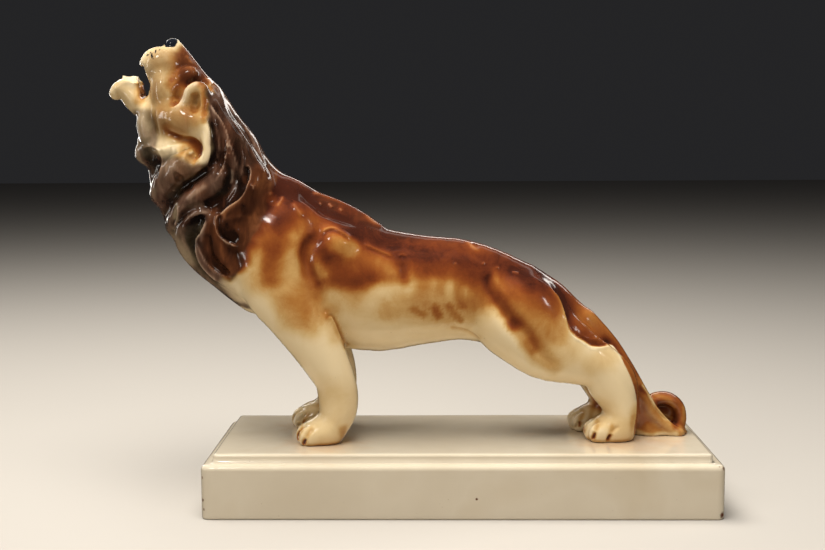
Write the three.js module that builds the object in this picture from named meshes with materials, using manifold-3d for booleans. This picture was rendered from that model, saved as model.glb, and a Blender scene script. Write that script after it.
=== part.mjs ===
import * as THREE from 'three';
import { SimplifyModifier } from 'three/addons/modifiers/SimplifyModifier.js';
import { mergeVertices } from 'three/addons/utils/BufferGeometryUtils.js';
import Module from 'manifold-3d';

// A glazed porcelain lion stretching and roaring on a stepped rectangular plinth. Millimetres, +Z up.
// The lion faces -X and its display side faces -Y. The origin is the centre of the plinth's underside.

const PLINTH_LENGTH = 330;
const PLINTH_DEPTH = 125;
const BLOCK_HEIGHT = 35;
const PLINTH_HEIGHT = 40.7;
const LEDGE = 6.8;
const CORNER_RADIUS = 5;
const EDGE_RADIUS = 3.2;
const SLAB_EDGE_RADIUS = 2.2;
const FOOT_EDGE_RADIUS = 1.2;
const ROUND_SEGMENTS = 3;
const SEAT_GAP = 0.3;
const SEAT = PLINTH_HEIGHT + SEAT_GAP;

const CREAM = 0xd9c49a;
const LION_TAN = 0xa8703a;
const PLINTH_ROUGHNESS = 0.25;
const LION_ROUGHNESS = 0.2;

// Towards the ground the far legs are set forward by a stride, which has faded out at this height.
const STRIDE_TOP = 110;

const TOES = 4;
const TOE_RADII = [7.5, 4.4, 7];
const TOE_HEIGHT = 5;
const TOE_INSET = 4.5;
const TOE_SWEEP = 0.75;
const TOE_SPREAD = 0.36;
const PAD_HEIGHT = 11;
const PAD_TILT = 8;

// The figure is sampled in cubes of this edge, down to a little below its seat, in this box.
const STEP = 3.1;
const BELOW_SEAT = 4;
const FIGURE_LOW = [-240, -47.7, SEAT - BELOW_SEAT - 4];
const FIGURE_HIGH = [160, 47.7, 312];
const FIGURE_VERTICES = 4400;

const SPAN_STEPS = 4;
const FAR = 1000;
const TINY = 1e-9;
const MERGE_WITHIN = 1e-4;
const CLEAR = 0.12;
const PROBE = 0.15;
const LEAST_SLOPE = 0.2;
const LONGEST_MOVE = 1;
const SETTLE_TURNS = 2;
const RELAX_ROUNDS = 2;

// The lion is one blended form. A chain is a soft tube through stations [x, y, z, r, w], where r is its
// half width seen from the side and w its half width across the body. A ball is an ellipsoid turned
// about the Y axis. Each form melts into the ones before it over its blend width, or is cut out of them.
// A pair is made on both sides of the body.

const TRUNK = [
  { kind: 'chain', name: 'trunk', blend: 1, stations: [
    [-120, 0, 165, 42, 32],
    [-95, 0, 156, 41, 33],
    [-63, 0, 140, 42, 32],
    [-30, 0, 138.5, 37, 29],
    [0, 0, 138.5, 33.5, 25],
    [26, 0, 131.5, 30.5, 25],
    [46, 0, 121, 28, 22],
  ] },
  { kind: 'chain', name: 'neck', blend: 8, stations: [
    [-126, 0, 170, 40, 31],
    [-148, 0, 192, 37.5, 30],
    [-165, 0, 214, 34, 29],
    [-175, 0, 238, 30, 27],
    [-178, 0, 257, 25, 23],
  ] },
  { kind: 'chain', name: 'chest keel', blend: 10, stations: [
    [-148, 0, 160, 20, 18],
    [-127, 0, 140, 18, 18],
    [-106, 0, 126, 18, 20],
  ] },
  { kind: 'chain', name: 'withers', blend: 4, stations: [
    [-100, 0, 200, 5.5, 8],
    [-84, 0, 194.5, 5.5, 8],
    [-68, 0, 186.5, 5.5, 7],
    [-56, 0, 178, 5, 6],
  ] },
  { kind: 'chain', name: 'spine trough', cut: true, blend: 3, pair: true, stations: [
    [-104, -14, 205, 2.5, 4],
    [-94, -17, 196.5, 4, 5],
    [-80, -18, 190.5, 4.5, 5],
    [-66, -16, 186, 3.5, 4],
  ] },
];

const HEAD = [
  { kind: 'chain', name: 'face column', blend: 7, stations: [
    [-187, 0, 258, 17, 19],
    [-187.5, 0, 272, 15, 16],
    [-190, 0, 284, 14, 13.5],
  ] },
  { kind: 'chain', name: 'bridge', blend: 4, stations: [
    [-169, 0, 265, 11, 13],
    [-178, 0, 281, 9.5, 9.5],
    [-185, 0, 294, 7, 7.5],
    [-187.5, 0, 300.5, 4.6, 6.5],
  ] },
  { kind: 'ball', name: 'upper lip', blend: 4, pair: true,
    centre: [-196, -6.5, 287.5], radii: [12.5, 8.5, 11.5], tilt: 20 },
  { kind: 'chain', name: 'lip tip', blend: 3, stations: [
    [-201, 0, 292, 6.5, 7],
    [-206.6, 0, 288.4, 3.4, 6],
  ] },
  { kind: 'chain', name: 'lower jaw', blend: 4, stations: [
    [-203, 0, 258, 9, 15],
    [-211.5, 0, 265, 9, 13],
    [-216.5, 0, 270, 8, 11.5],
    [-223, 0, 272.5, 5.2, 10],
    [-226, 0, 269.5, 4.4, 9],
  ] },
  { kind: 'chain', name: 'jaw top', blend: 3, stations: [
    [-212.5, 0, 275, 3.8, 10.5],
    [-219, 0, 275, 4.6, 9.5],
  ] },
  { kind: 'chain', name: 'mouth gap', cut: true, blend: 2, stations: [
    [-207, 0, 285, 2.4, 40],
    [-206, 0, 276, 3.2, 40],
    [-205.6, 0, 268, 2.8, 40],
  ] },
  { kind: 'ball', name: 'brow', blend: 4, pair: true,
    centre: [-176, -11.5, 279], radii: [4.5, 5.5, 7.5], tilt: -35 },
  { kind: 'ball', name: 'eye hollow', cut: true, blend: 4, pair: true,
    centre: [-177, -18, 280], radii: [4, 5, 5.5], tilt: -20 },
  { kind: 'ball', name: 'cheek', blend: 6, pair: true,
    centre: [-193, -12, 270], radii: [7, 8, 12], tilt: 4 },
  { kind: 'chain', name: 'ear', blend: 3, pair: true, stations: [
    [-174, -20, 264, 4, 6],
    [-171, -21, 270, 5, 6],
    [-166, -21, 270, 5, 6],
    [-164.5, -22, 260, 4.5, 6],
    [-165, -23, 252, 5, 6],
  ] },
  { kind: 'ball', name: 'ear hollow', cut: true, blend: 2.5, pair: true,
    centre: [-169.5, -27, 261], radii: [3.6, 5, 8], tilt: -8 },
  { kind: 'chain', name: 'face notch', cut: true, blend: 3, pair: true, stations: [
    [-179, -20, 275, 3, 4],
    [-181.5, -21, 268, 3, 5],
    [-182, -22, 264, 3, 5],
  ] },
];

const MANE = [
  { kind: 'chain', name: 'crest', blend: 5, stations: [
    [-166, 0, 263, 11, 13],
    [-159.5, 0, 254, 11.5, 15],
    [-149.5, 0, 240, 11.5, 17],
    [-140.5, 0, 225, 11.5, 18],
    [-129, 0, 210, 11, 18],
    [-114, 0, 199, 13, 18],
  ] },
  { kind: 'chain', name: 'mane side', blend: 6, pair: true, stations: [
    [-162, -12, 262, 7, 9],
    [-157, -17, 250, 9, 9],
    [-149, -19, 236, 11, 10],
    [-141, -20, 221, 12, 10],
    [-134, -20, 205, 13, 10],
  ] },
  { kind: 'chain', name: 'throat', blend: 4, stations: [
    [-200, 0, 256, 9, 12],
    [-201.5, 0, 246, 8.5, 12],
    [-203.5, 0, 234, 9.5, 12],
    [-199, 0, 222, 7.5, 12],
    [-195, 0, 207, 9.5, 12],
    [-190, 0, 192, 8, 12],
    [-184.5, 0, 178, 8, 12],
    [-174, 0, 162, 8, 12],
    [-158.5, 0, 147, 8, 12],
    [-140, 0, 131, 6, 11],
  ] },
  { kind: 'ball', name: 'throat tip', blend: 3, centre: [-206.5, 0, 230], radii: [7.5, 12, 6.5], tilt: 0 },
  { kind: 'ball', name: 'beard tip', blend: 3,
    centre: [-197.5, 0, 202.5], radii: [7.5, 11, 6.5], tilt: 20 },
  { kind: 'chain', name: 'jaw ruff', blend: 4, pair: true, stations: [
    [-202, -10, 257, 6.5, 8],
    [-203.5, -11, 249, 7, 9],
    [-202, -12, 241, 6.5, 9],
  ] },
  { kind: 'chain', name: 'cheek ruff', blend: 5, pair: true, stations: [
    [-189, -17, 254, 8, 8],
    [-178, -20, 252, 10, 9],
    [-169, -22, 248, 8.5, 8],
  ] },
  { kind: 'chain', name: 'hook lock', blend: 4, pair: true, stations: [
    [-163, -24, 251, 4.6, 6],
    [-161, -26, 240, 5, 6.5],
    [-161.5, -27, 230, 5, 6.5],
    [-165, -28, 221, 5, 5.5],
  ] },
  { kind: 'chain', name: 'throat lock', blend: 4, pair: true, stations: [
    [-189, -20, 234, 5, 6],
    [-198, -14, 232, 7, 8],
    [-205, -7, 230, 7, 9],
  ] },
  { kind: 'chain', name: 'beard lock', blend: 4, pair: true, stations: [
    [-172, -26, 225, 8, 6.5],
    [-182, -23, 219, 9.5, 8],
    [-190, -17, 211, 9.5, 9.5],
    [-196, -9, 204, 7.5, 9.5],
  ] },
  { kind: 'chain', name: 'front lock', blend: 4, pair: true, stations: [
    [-156, -27, 215, 6.5, 5.5],
    [-167, -26, 206, 7.5, 7],
    [-177, -22, 197, 7, 8],
    [-184, -15, 189, 6.5, 9],
    [-189, -7, 182, 5, 8],
  ] },
  { kind: 'chain', name: 'breast lock', blend: 4, pair: true, stations: [
    [-167, -26, 191, 6, 6],
    [-176, -21, 183, 7.5, 8.5],
    [-179, -16, 172, 7, 9.5],
    [-170, -13, 158, 6.5, 10],
    [-154, -11, 143.5, 5.5, 9],
    [-139, -9, 132, 4.5, 8],
  ] },
  { kind: 'chain', name: 'edge lock', blend: 3, pair: true, stations: [
    [-164, -27, 189, 4, 5],
    [-167, -27, 175, 4.4, 5.5],
    [-165, -26, 162, 4.4, 6],
    [-156.5, -23, 151.5, 4.4, 6],
    [-145, -19, 142, 4, 5],
  ] },
  { kind: 'chain', name: 'side lock', blend: 4, pair: true, stations: [
    [-153, -27, 192, 6, 5],
    [-158, -28, 180, 7, 5.5],
    [-156, -28, 168, 7, 5.5],
    [-149, -26, 157, 5.5, 5.5],
  ] },
  { kind: 'chain', name: 'collar lock', blend: 3.5, pair: true, stations: [
    [-131, -22, 217, 5, 7],
    [-133, -26, 209, 5.5, 6.5],
    [-140, -28, 200, 6.5, 6],
    [-147, -29, 192, 6.5, 6],
    [-148.5, -29, 182, 6, 5.5],
    [-144, -29, 175, 5, 5],
  ] },
  { kind: 'chain', name: 'ruff hollow', cut: true, blend: 3, pair: true, stations: [
    [-190, -27, 247, 2.2, 3],
    [-182, -30, 242, 3.4, 4.5],
    [-173, -31, 238.5, 4.4, 5.5],
    [-168.5, -31, 233, 4.4, 5.5],
    [-171, -31, 228, 3.4, 4],
  ] },
  { kind: 'ball', name: 'throat hollow', cut: true, blend: 3, pair: true,
    centre: [-201, -19.5, 229], radii: [4.5, 4.5, 4.5], tilt: 0 },
  { kind: 'chain', name: 'beard groove', cut: true, blend: 3, pair: true, stations: [
    [-190, -23, 200, 2.2, 3],
    [-181, -29, 209, 2.6, 4],
    [-171, -33, 215, 2.4, 4],
    [-160, -34, 221, 2, 3.5],
  ] },
  { kind: 'chain', name: 'mane pit', cut: true, blend: 3, pair: true, stations: [
    [-160, -34, 197, 3.2, 6],
    [-152, -34, 204, 3.6, 5],
    [-146, -32, 213, 3, 4],
  ] },
  { kind: 'chain', name: 'breast hollow', cut: true, blend: 3, pair: true, stations: [
    [-168, -33, 188, 2.4, 4],
    [-172.5, -32, 180, 2.8, 4.5],
    [-174, -29, 170, 2.4, 3.5],
  ] },
  { kind: 'chain', name: 'side groove', cut: true, blend: 2.5, pair: true, stations: [
    [-162, -34, 176, 2, 2.5],
    [-160, -33, 164, 2, 3],
    [-151, -30, 154, 1.8, 2.5],
  ] },
];

const LEGS = [
  { kind: 'chain', name: 'foreleg', blend: 7, stride: -7, pair: true, stations: [
    [-108, -20, 184, 14, 9],
    [-117, -23, 166, 22, 12],
    [-118.5, -24, 148, 24.5, 14],
    [-107.5, -24.5, 128, 20.5, 15],
    [-96.5, -24, 110, 17.5, 15],
    [-87.5, -23.5, 93, 14.6, 14],
    [-82.3, -23, 82, 13.2, 13],
    [-80.4, -22.5, 70, 13.1, 12],
    [-81.2, -22.5, 59, 11.9, 12],
    [-86, -22.5, 48, 9, 11.5],
  ] },
  { kind: 'ball', name: 'haunch', blend: 7, pair: true,
    centre: [41, -15, 122], radii: [28, 15, 27], tilt: 0 },
  { kind: 'chain', name: 'thigh', blend: 7, stride: -7, pair: true, stations: [
    [36, -14, 118, 24, 14],
    [56, -16.5, 106, 25, 13.5],
    [77, -16.5, 96, 18.5, 12.5],
    [91.5, -16, 89, 15, 12],
    [99.5, -15.5, 79, 16.2, 12],
    [104.5, -15, 67, 12.8, 12],
    [106, -15, 57, 11, 12],
    [105, -15, 47, 10.6, 12],
  ] },
  { kind: 'ball', name: 'shoulder knob', blend: 9, pair: true,
    centre: [-81, -23.5, 171], radii: [10, 8, 9], tilt: 0 },
  { kind: 'chain', name: 'shoulder groove', cut: true, blend: 4, pair: true, stations: [
    [-91, -32, 179, 2.5, 3],
    [-97, -34, 169, 3.4, 4],
    [-98, -36, 158, 3.4, 4],
    [-94, -37, 147, 3.2, 3.6],
    [-90, -38, 137, 2.6, 3],
  ] },
  { kind: 'chain', name: 'elbow crease', cut: true, blend: 2, pair: true, stations: [
    [-84, -36, 126, 1.4, 2.4],
    [-79, -36, 118, 1.8, 4],
    [-76, -35, 109, 2, 5],
    [-72, -33, 100, 2.4, 6],
  ] },
  { kind: 'chain', name: 'haunch groove', cut: true, blend: 6, pair: true, stations: [
    [17, -29.5, 151, 4, 4],
    [20, -31, 139, 5, 5],
    [28, -32.5, 127, 5, 5],
    [38, -33, 116, 4.4, 4.4],
    [47, -33, 105, 3.6, 3.6],
    [56, -32, 94, 3, 3],
  ] },
];

const TAIL = [
  { kind: 'chain', name: 'tail', blend: 8, stations: [
    [44, 0, 140, 12, 12],
    [62, 0, 129, 12.2, 12],
    [81, 0, 112.5, 12.4, 11],
    [95.5, 0, 97, 12, 10],
    [106.5, 0, 80, 11, 9],
    [116, 0, 64, 10.5, 8],
    [123, 0, 51, 10.5, 8],
    [127, 0, 42, 13, 8],
  ] },
  { kind: 'chain', name: 'tail edge', blend: 4, stations: [
    [84, -4, 119, 6, 6],
    [99.5, -5, 102, 5, 5],
    [111.5, -5.5, 85, 4.5, 4.5],
    [121.5, -6, 68.5, 4.2, 4.2],
    [130.8, -6, 54.5, 4, 4],
    [139, -6, 46, 4, 4],
    [146, -6, 42, 4, 4],
  ] },
  { kind: 'chain', name: 'tail foot', blend: 3, stations: [
    [127, -1, 41, 9, 9],
    [138, 0, 39, 8, 8.5],
    [147, 0, 38, 7, 7.5],
  ] },
  { kind: 'chain', name: 'tail curl', blend: 2.5, stations: [
    [145.5, 4, 42, 5.5, 8],
    [148.5, 4, 50, 4.4, 8],
    [147, 4, 58.5, 4.2, 8],
    [140.5, 4, 63.6, 4.2, 8],
    [132, 4, 63, 4.4, 8],
    [126, 4, 58, 5, 7],
  ] },
  { kind: 'chain', name: 'curl web', blend: 3, stations: [
    [131, 7, 52, 7, 4],
    [141, 7, 54, 7.5, 4],
  ] },
];

// A foot: a rounded pad with a row of toes swept round its front and a slot between each two.
function foot(name, [x, y, z], length, width, stride) {
  const toe = (i) => {
    const across = (2 * i) / (TOES - 1) - 1;
    const ahead = (length / 2 - TOE_INSET) * Math.cos(TOE_SWEEP * across);
    return [x - ahead, y + TOE_SPREAD * width * across, SEAT + TOE_HEIGHT];
  };
  const forms = [{
    kind: 'ball', name: `${name} pad`, blend: 5, stride, pair: true,
    centre: [x, y, z], radii: [length / 2, width / 2, PAD_HEIGHT], tilt: PAD_TILT,
  }];
  for (let i = 0; i < TOES; i++) {
    forms.push({
      kind: 'ball', name: `${name} toe ${i + 1}`, blend: 2, stride, pair: true,
      centre: toe(i), radii: TOE_RADII, tilt: 0,
    });
  }
  for (let i = 0; i + 1 < TOES; i++) {
    const [tx, ty, tz] = toe(i + 0.5);
    forms.push({
      kind: 'chain', name: `${name} slot ${i + 1}`, cut: true, blend: 1.5, stride, pair: true,
      stations: [
        [tx - 8, ty, tz - 6, 2.5, 0.9],
        [tx - 6, ty, tz + 6, 3, 1],
      ],
    });
  }
  return forms;
}

const FEET = [
  ...foot('front foot', [-91.4, -23.5, 47], 28, 26, -9),
  ...foot('hind foot', [98.6, -15, 47], 29, 25, -8),
];

const FIGURE = [...TRUNK, ...HEAD, ...MANE, ...LEGS, ...FEET, ...TAIL];

// How far a far-side point is set forward: the whole stride at the ground, none at the top of the stride.
function strideAt(stride, z) {
  return stride * THREE.MathUtils.clamp((STRIDE_TOP - z) / (STRIDE_TOP - SEAT), 0, 1);
}

// A station between four neighbours, on the smooth curve through the middle two.
function between(a, b, c, d, t) {
  return b.map((_, k) => {
    const bend = 2 * a[k] - 5 * b[k] + 4 * c[k] - d[k] + t * (3 * b[k] - a[k] - 3 * c[k] + d[k]);
    return b[k] + 0.5 * t * (c[k] - a[k] + t * bend);
  });
}

// Splits a chain into short segments along the smooth curve through its stations.
function segmentsOf(stations, stride, side) {
  const full = stations.map(([x, y, z, r, w = r]) => [x + strideAt(stride, z), y * side, z, r, w]);
  const points = [];
  for (let i = 0; i + 1 < full.length; i++) {
    const before = full[Math.max(i - 1, 0)];
    const after = full[Math.min(i + 2, full.length - 1)];
    for (let s = 0; s < SPAN_STEPS; s++) {
      points.push(between(before, full[i], full[i + 1], after, s / SPAN_STEPS));
    }
  }
  points.push(full[full.length - 1]);
  return points.slice(1).map((end, i) => {
    const [x, y, z, r, w] = points[i];
    const [lx, ly, lz, dr, dw] = end.map((v, k) => v - points[i][k]);
    return { x, y, z, r, w, lx, ly, lz, dr, dw, length2: lx * lx + ly * ly + lz * lz };
  });
}

// Distance from an ellipse of half widths r and w to the point u along the first and v along the second.
function ellipseGap(u, v, r, w) {
  const a = u / r;
  const b = v / w;
  const near = Math.sqrt(a * a + b * b);
  const steep = Math.sqrt((a / r) * (a / r) + (b / w) * (b / w));
  return steep < TINY ? -Math.min(r, w) : near * (near - 1) / steep;
}

function chainGap(segments, x, y, z) {
  let best = FAR;
  for (const s of segments) {
    const dx = x - s.x;
    const dy = y - s.y;
    const dz = z - s.z;
    const t = Math.min(1, Math.max(0, (dx * s.lx + dy * s.ly + dz * s.lz) / s.length2));
    const ux = dx - t * s.lx;
    const uz = dz - t * s.lz;
    const gap = ellipseGap(Math.sqrt(ux * ux + uz * uz), dy - t * s.ly, s.r + t * s.dr, s.w + t * s.dw);
    if (gap < best) best = gap;
  }
  return best;
}

function ballGap(ball, x, y, z) {
  const dx = x - ball.centre[0];
  const dz = z - ball.centre[2];
  const a = (ball.cos * dx + ball.sin * dz) / ball.radii[0];
  const b = (y - ball.centre[1]) / ball.radii[1];
  const c = (ball.cos * dz - ball.sin * dx) / ball.radii[2];
  const near = Math.hypot(a, b, c);
  const steep = Math.hypot(a / ball.radii[0], b / ball.radii[1], c / ball.radii[2]);
  return steep < TINY ? -Math.min(...ball.radii) : near * (near - 1) / steep;
}

// One form on one side of the body, with the box that holds it.
function placed(form, side) {
  const { blend, cut = false } = form;
  const stride = side === 1 ? 0 : form.stride ?? 0;
  if (form.kind === 'ball') {
    const [x, y, z] = form.centre;
    const centre = [x + strideAt(stride, z), y * side, z];
    const angle = THREE.MathUtils.degToRad(form.tilt);
    const ball = { centre, radii: form.radii, cos: Math.cos(angle), sin: Math.sin(angle) };
    const size = Math.max(...form.radii);
    const low = centre.map((v) => v - size);
    const high = centre.map((v) => v + size);
    return { blend, cut, low, high, gap: (px, py, pz) => ballGap(ball, px, py, pz) };
  }
  const segments = segmentsOf(form.stations, stride, side);
  const reach = Math.max(...segments.map((s) => Math.max(s.r, s.w, s.r + s.dr, s.w + s.dw)));
  const axes = ['x', 'y', 'z'];
  const low = axes.map((k) => Math.min(...segments.map((s) => s[k] + Math.min(0, s['l' + k]))) - reach);
  const high = axes.map((k) => Math.max(...segments.map((s) => s[k] + Math.max(0, s['l' + k]))) + reach);
  return { blend, cut, low, high, gap: (px, py, pz) => chainGap(segments, px, py, pz) };
}

const forms = FIGURE.flatMap((form) => (form.pair ? [1, -1] : [1]).map((side) => placed(form, side)));

function melt(a, b, width) {
  const overlap = Math.max(width - Math.abs(a - b), 0) / width;
  return Math.min(a, b) - overlap * overlap * width / 4;
}

// Signed distance to the whole figure, negative inside.
function figureGap(x, y, z) {
  let gap = FAR;
  for (const form of forms) {
    const { low, high } = form;
    const ax = Math.max(low[0] - x, x - high[0], 0);
    const ay = Math.max(low[1] - y, y - high[1], 0);
    const az = Math.max(low[2] - z, z - high[2], 0);
    const reach = form.cut ? form.blend - gap : form.blend + gap;
    if (reach < 0 || ax * ax + ay * ay + az * az > reach * reach) {
      continue;
    }
    const sign = form.cut ? -1 : 1;
    gap = sign * melt(sign * gap, form.gap(x, y, z), form.blend);
  }
  return gap;
}

// Moves a point onto the surface, where the gap is nought.
function settle(gap, p) {
  for (let turn = 0; turn < SETTLE_TURNS; turn++) {
    const [x, y, z] = p;
    const d = gap(x, y, z);
    const sx = (gap(x + PROBE, y, z) - d) / PROBE;
    const sy = (gap(x, y + PROBE, z) - d) / PROBE;
    const sz = (gap(x, y, z + PROBE) - d) / PROBE;
    const steep = Math.max(sx * sx + sy * sy + sz * sz, LEAST_SLOPE);
    const move = THREE.MathUtils.clamp(d / steep, -LONGEST_MOVE, LONGEST_MOVE);
    p[0] = x - move * sx;
    p[1] = y - move * sy;
    p[2] = z - move * sz;
  }
}

// The gap at every node of a box of cubes, kept clear of nought so that no triangle is a sliver.
function sample(gap, low, size) {
  const values = new Float64Array(size[0] * size[1] * size[2]);
  let at = 0;
  for (let k = 0; k < size[2]; k++) {
    for (let j = 0; j < size[1]; j++) {
      for (let i = 0; i < size[0]; i++) {
        const v = gap(low[0] + i * STEP, low[1] + j * STEP, low[2] + k * STEP);
        values[at] = Math.sign(v || 1) * Math.max(Math.abs(v), CLEAR * STEP);
        at += 1;
      }
    }
  }
  return values;
}

// The six tetrahedra of a cube, each a walk from corner 0 to corner 7 along the three axes in one order.
const TETRAHEDRA = [[1, 2], [1, 4], [2, 1], [2, 4], [4, 1], [4, 2]].map(([a, b]) => [0, a, a | b, 7]);

// Wraps the surface in triangles, tetrahedron by tetrahedron, so that it is always closed.
function wrap(gap, low, high) {
  const size = low.map((v, k) => Math.ceil((high[k] - v) / STEP) + 1);
  const values = sample(gap, low, size);
  const strides = [1, size[0], size[0] * size[1]];
  const offset = (corner) => [1, 2, 4].reduce((sum, bit, k) => sum + (corner & bit ? strides[k] : 0), 0);
  const offsets = Array.from({ length: 8 }, (_, corner) => offset(corner));
  const place = (node) => [
    low[0] + STEP * (node % size[0]),
    low[1] + STEP * (Math.floor(node / size[0]) % size[1]),
    low[2] + STEP * Math.floor(node / strides[2]),
  ];
  const vertices = [];
  const edgeVertex = new Map();
  const crossing = (a, b) => {
    const [from, to] = [Math.min(a, b), Math.max(a, b)];
    const key = from * values.length + to;
    if (!edgeVertex.has(key)) {
      const [p, q] = [place(from), place(to)];
      const t = values[from] / (values[from] - values[to]);
      edgeVertex.set(key, vertices.length);
      vertices.push(p.map((v, k) => v + t * (q[k] - v)));
    }
    return edgeVertex.get(key);
  };
  const index = [];
  const addFacing = (ring, inner) => {
    const [a, b, c] = ring.map((v) => new THREE.Vector3(...vertices[v]));
    const normal = b.sub(a).cross(c.sub(a));
    const outward = normal.dot(a.sub(new THREE.Vector3(...place(inner)))) > 0;
    for (let i = 2; i < ring.length; i++) {
      index.push(ring[0], outward ? ring[i - 1] : ring[i], outward ? ring[i] : ring[i - 1]);
    }
  };
  const addTetrahedron = (nodes) => {
    const inner = nodes.filter((n) => values[n] < 0);
    const outer = nodes.filter((n) => values[n] >= 0);
    if (inner.length === 1) {
      addFacing(outer.map((n) => crossing(inner[0], n)), inner[0]);
    }
    if (inner.length === 2) {
      const [p, q] = inner;
      const [r, s] = outer;
      addFacing([crossing(p, r), crossing(p, s), crossing(q, s), crossing(q, r)], p);
    }
    if (inner.length === 3) {
      addFacing(inner.map((n) => crossing(n, outer[0])), inner[0]);
    }
  };
  for (let k = 0; k + 1 < size[2]; k++) {
    for (let j = 0; j + 1 < size[1]; j++) {
      for (let i = 0; i + 1 < size[0]; i++) {
        const base = i + j * strides[1] + k * strides[2];
        const count = offsets.reduce((sum, o) => sum + (values[base + o] < 0 ? 1 : 0), 0);
        if (count > 0 && count < offsets.length) {
          TETRAHEDRA.forEach((corners) => addTetrahedron(corners.map((corner) => base + offsets[corner])));
        }
      }
    }
  }
  return { vertices, index };
}

// Evens out the triangles, keeping every vertex on the surface.
function relax(gap, { vertices, index }) {
  for (let round = 0; round < RELAX_ROUNDS; round++) {
    const sums = vertices.map(() => [0, 0, 0, 0]);
    for (let i = 0; i < index.length; i += 3) {
      for (let side = 0; side < 3; side++) {
        const sum = sums[index[i + side]];
        const [x, y, z] = vertices[index[i + (side + 1) % 3]];
        sum[0] += x;
        sum[1] += y;
        sum[2] += z;
        sum[3] += 1;
      }
    }
    vertices.forEach((p, v) => {
      for (let k = 0; k < 3; k++) {
        p[k] = (p[k] + sums[v][k] / sums[v][3]) / 2;
      }
      settle(gap, p);
    });
  }
}

const wasm = await Module();
wasm.setup();

function toSolid(geometry) {
  const bare = geometry.clone();
  bare.deleteAttribute('normal');
  bare.deleteAttribute('uv');
  const merged = mergeVertices(bare, MERGE_WITHIN);
  return new wasm.Manifold(new wasm.Mesh({
    numProp: 3,
    vertProperties: new Float32Array(merged.attributes.position.array),
    triVerts: new Uint32Array(merged.index.array),
  }));
}

function toGeometry(solid) {
  const mesh = solid.getMesh();
  const geometry = new THREE.BufferGeometry();
  geometry.setAttribute('position', new THREE.BufferAttribute(new Float32Array(mesh.vertProperties), 3));
  geometry.setIndex(new THREE.BufferAttribute(new Uint32Array(mesh.triVerts), 1));
  geometry.computeVertexNormals();
  return geometry;
}

// The figure's own surface, cut flat where it stands on the plinth.
async function lionGeometry() {
  const bounded = (x, y, z) => Math.max(figureGap(x, y, z), SEAT - BELOW_SEAT - z);
  const net = wrap(bounded, FIGURE_LOW, FIGURE_HIGH);
  relax(bounded, net);
  const fine = new THREE.BufferGeometry();
  fine.setAttribute('position', new THREE.Float32BufferAttribute(net.vertices.flat(), 3));
  fine.setIndex(net.index);
  const light = await new SimplifyModifier().modify(fine, net.vertices.length - FIGURE_VERTICES);
  const waste = new THREE.BoxGeometry(2 * PLINTH_LENGTH, 2 * PLINTH_DEPTH, SEAT);
  waste.translate(0, 0, SEAT / 2);
  return toGeometry(toSolid(light).subtract(toSolid(waste)));
}

function roundedRectangle(length, depth, radius) {
  const [x, y] = [length / 2 - radius, depth / 2 - radius];
  const shape = new THREE.Shape();
  shape.moveTo(x + radius, -y);
  shape.absarc(x, y, radius, 0, Math.PI / 2);
  shape.absarc(-x, y, radius, Math.PI / 2, Math.PI);
  shape.absarc(-x, -y, radius, Math.PI, 1.5 * Math.PI);
  shape.absarc(x, -y, radius, 1.5 * Math.PI, 2 * Math.PI);
  return shape;
}

// A block with all its long edges rounded by the same radius.
function softBlock(length, depth, low, high, edge) {
  const outline = roundedRectangle(length - 2 * edge, depth - 2 * edge, CORNER_RADIUS - edge);
  const geometry = new THREE.ExtrudeGeometry(outline, {
    depth: high - low - 2 * edge,
    bevelSize: edge,
    bevelThickness: edge,
    bevelSegments: ROUND_SEGMENTS,
    curveSegments: ROUND_SEGMENTS,
  });
  geometry.translate(0, 0, low + edge);
  return geometry;
}

// A wide block with rounded top edges, a small round at its foot, and a thinner slab set back on top.
function plinthGeometry() {
  const cap = softBlock(PLINTH_LENGTH, PLINTH_DEPTH, BLOCK_HEIGHT / 2, BLOCK_HEIGHT, EDGE_RADIUS);
  const base = softBlock(PLINTH_LENGTH, PLINTH_DEPTH, 0, BLOCK_HEIGHT - 2 * EDGE_RADIUS, FOOT_EDGE_RADIUS);
  const slab = softBlock(
    PLINTH_LENGTH - 2 * LEDGE, PLINTH_DEPTH - 2 * LEDGE, BLOCK_HEIGHT / 2, PLINTH_HEIGHT, SLAB_EDGE_RADIUS);
  return toGeometry(toSolid(base).add(toSolid(cap)).add(toSolid(slab)));
}

function piece(name, geometry, color, roughness) {
  const mesh = new THREE.Mesh(geometry, new THREE.MeshStandardMaterial({ color, roughness, metalness: 0 }));
  mesh.name = name;
  return mesh;
}

const figurine = new THREE.Group();
figurine.add(piece('plinth', plinthGeometry(), CREAM, PLINTH_ROUGHNESS));
figurine.add(piece('lion', await lionGeometry(), LION_TAN, LION_ROUGHNESS));

export default figurine;
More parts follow.
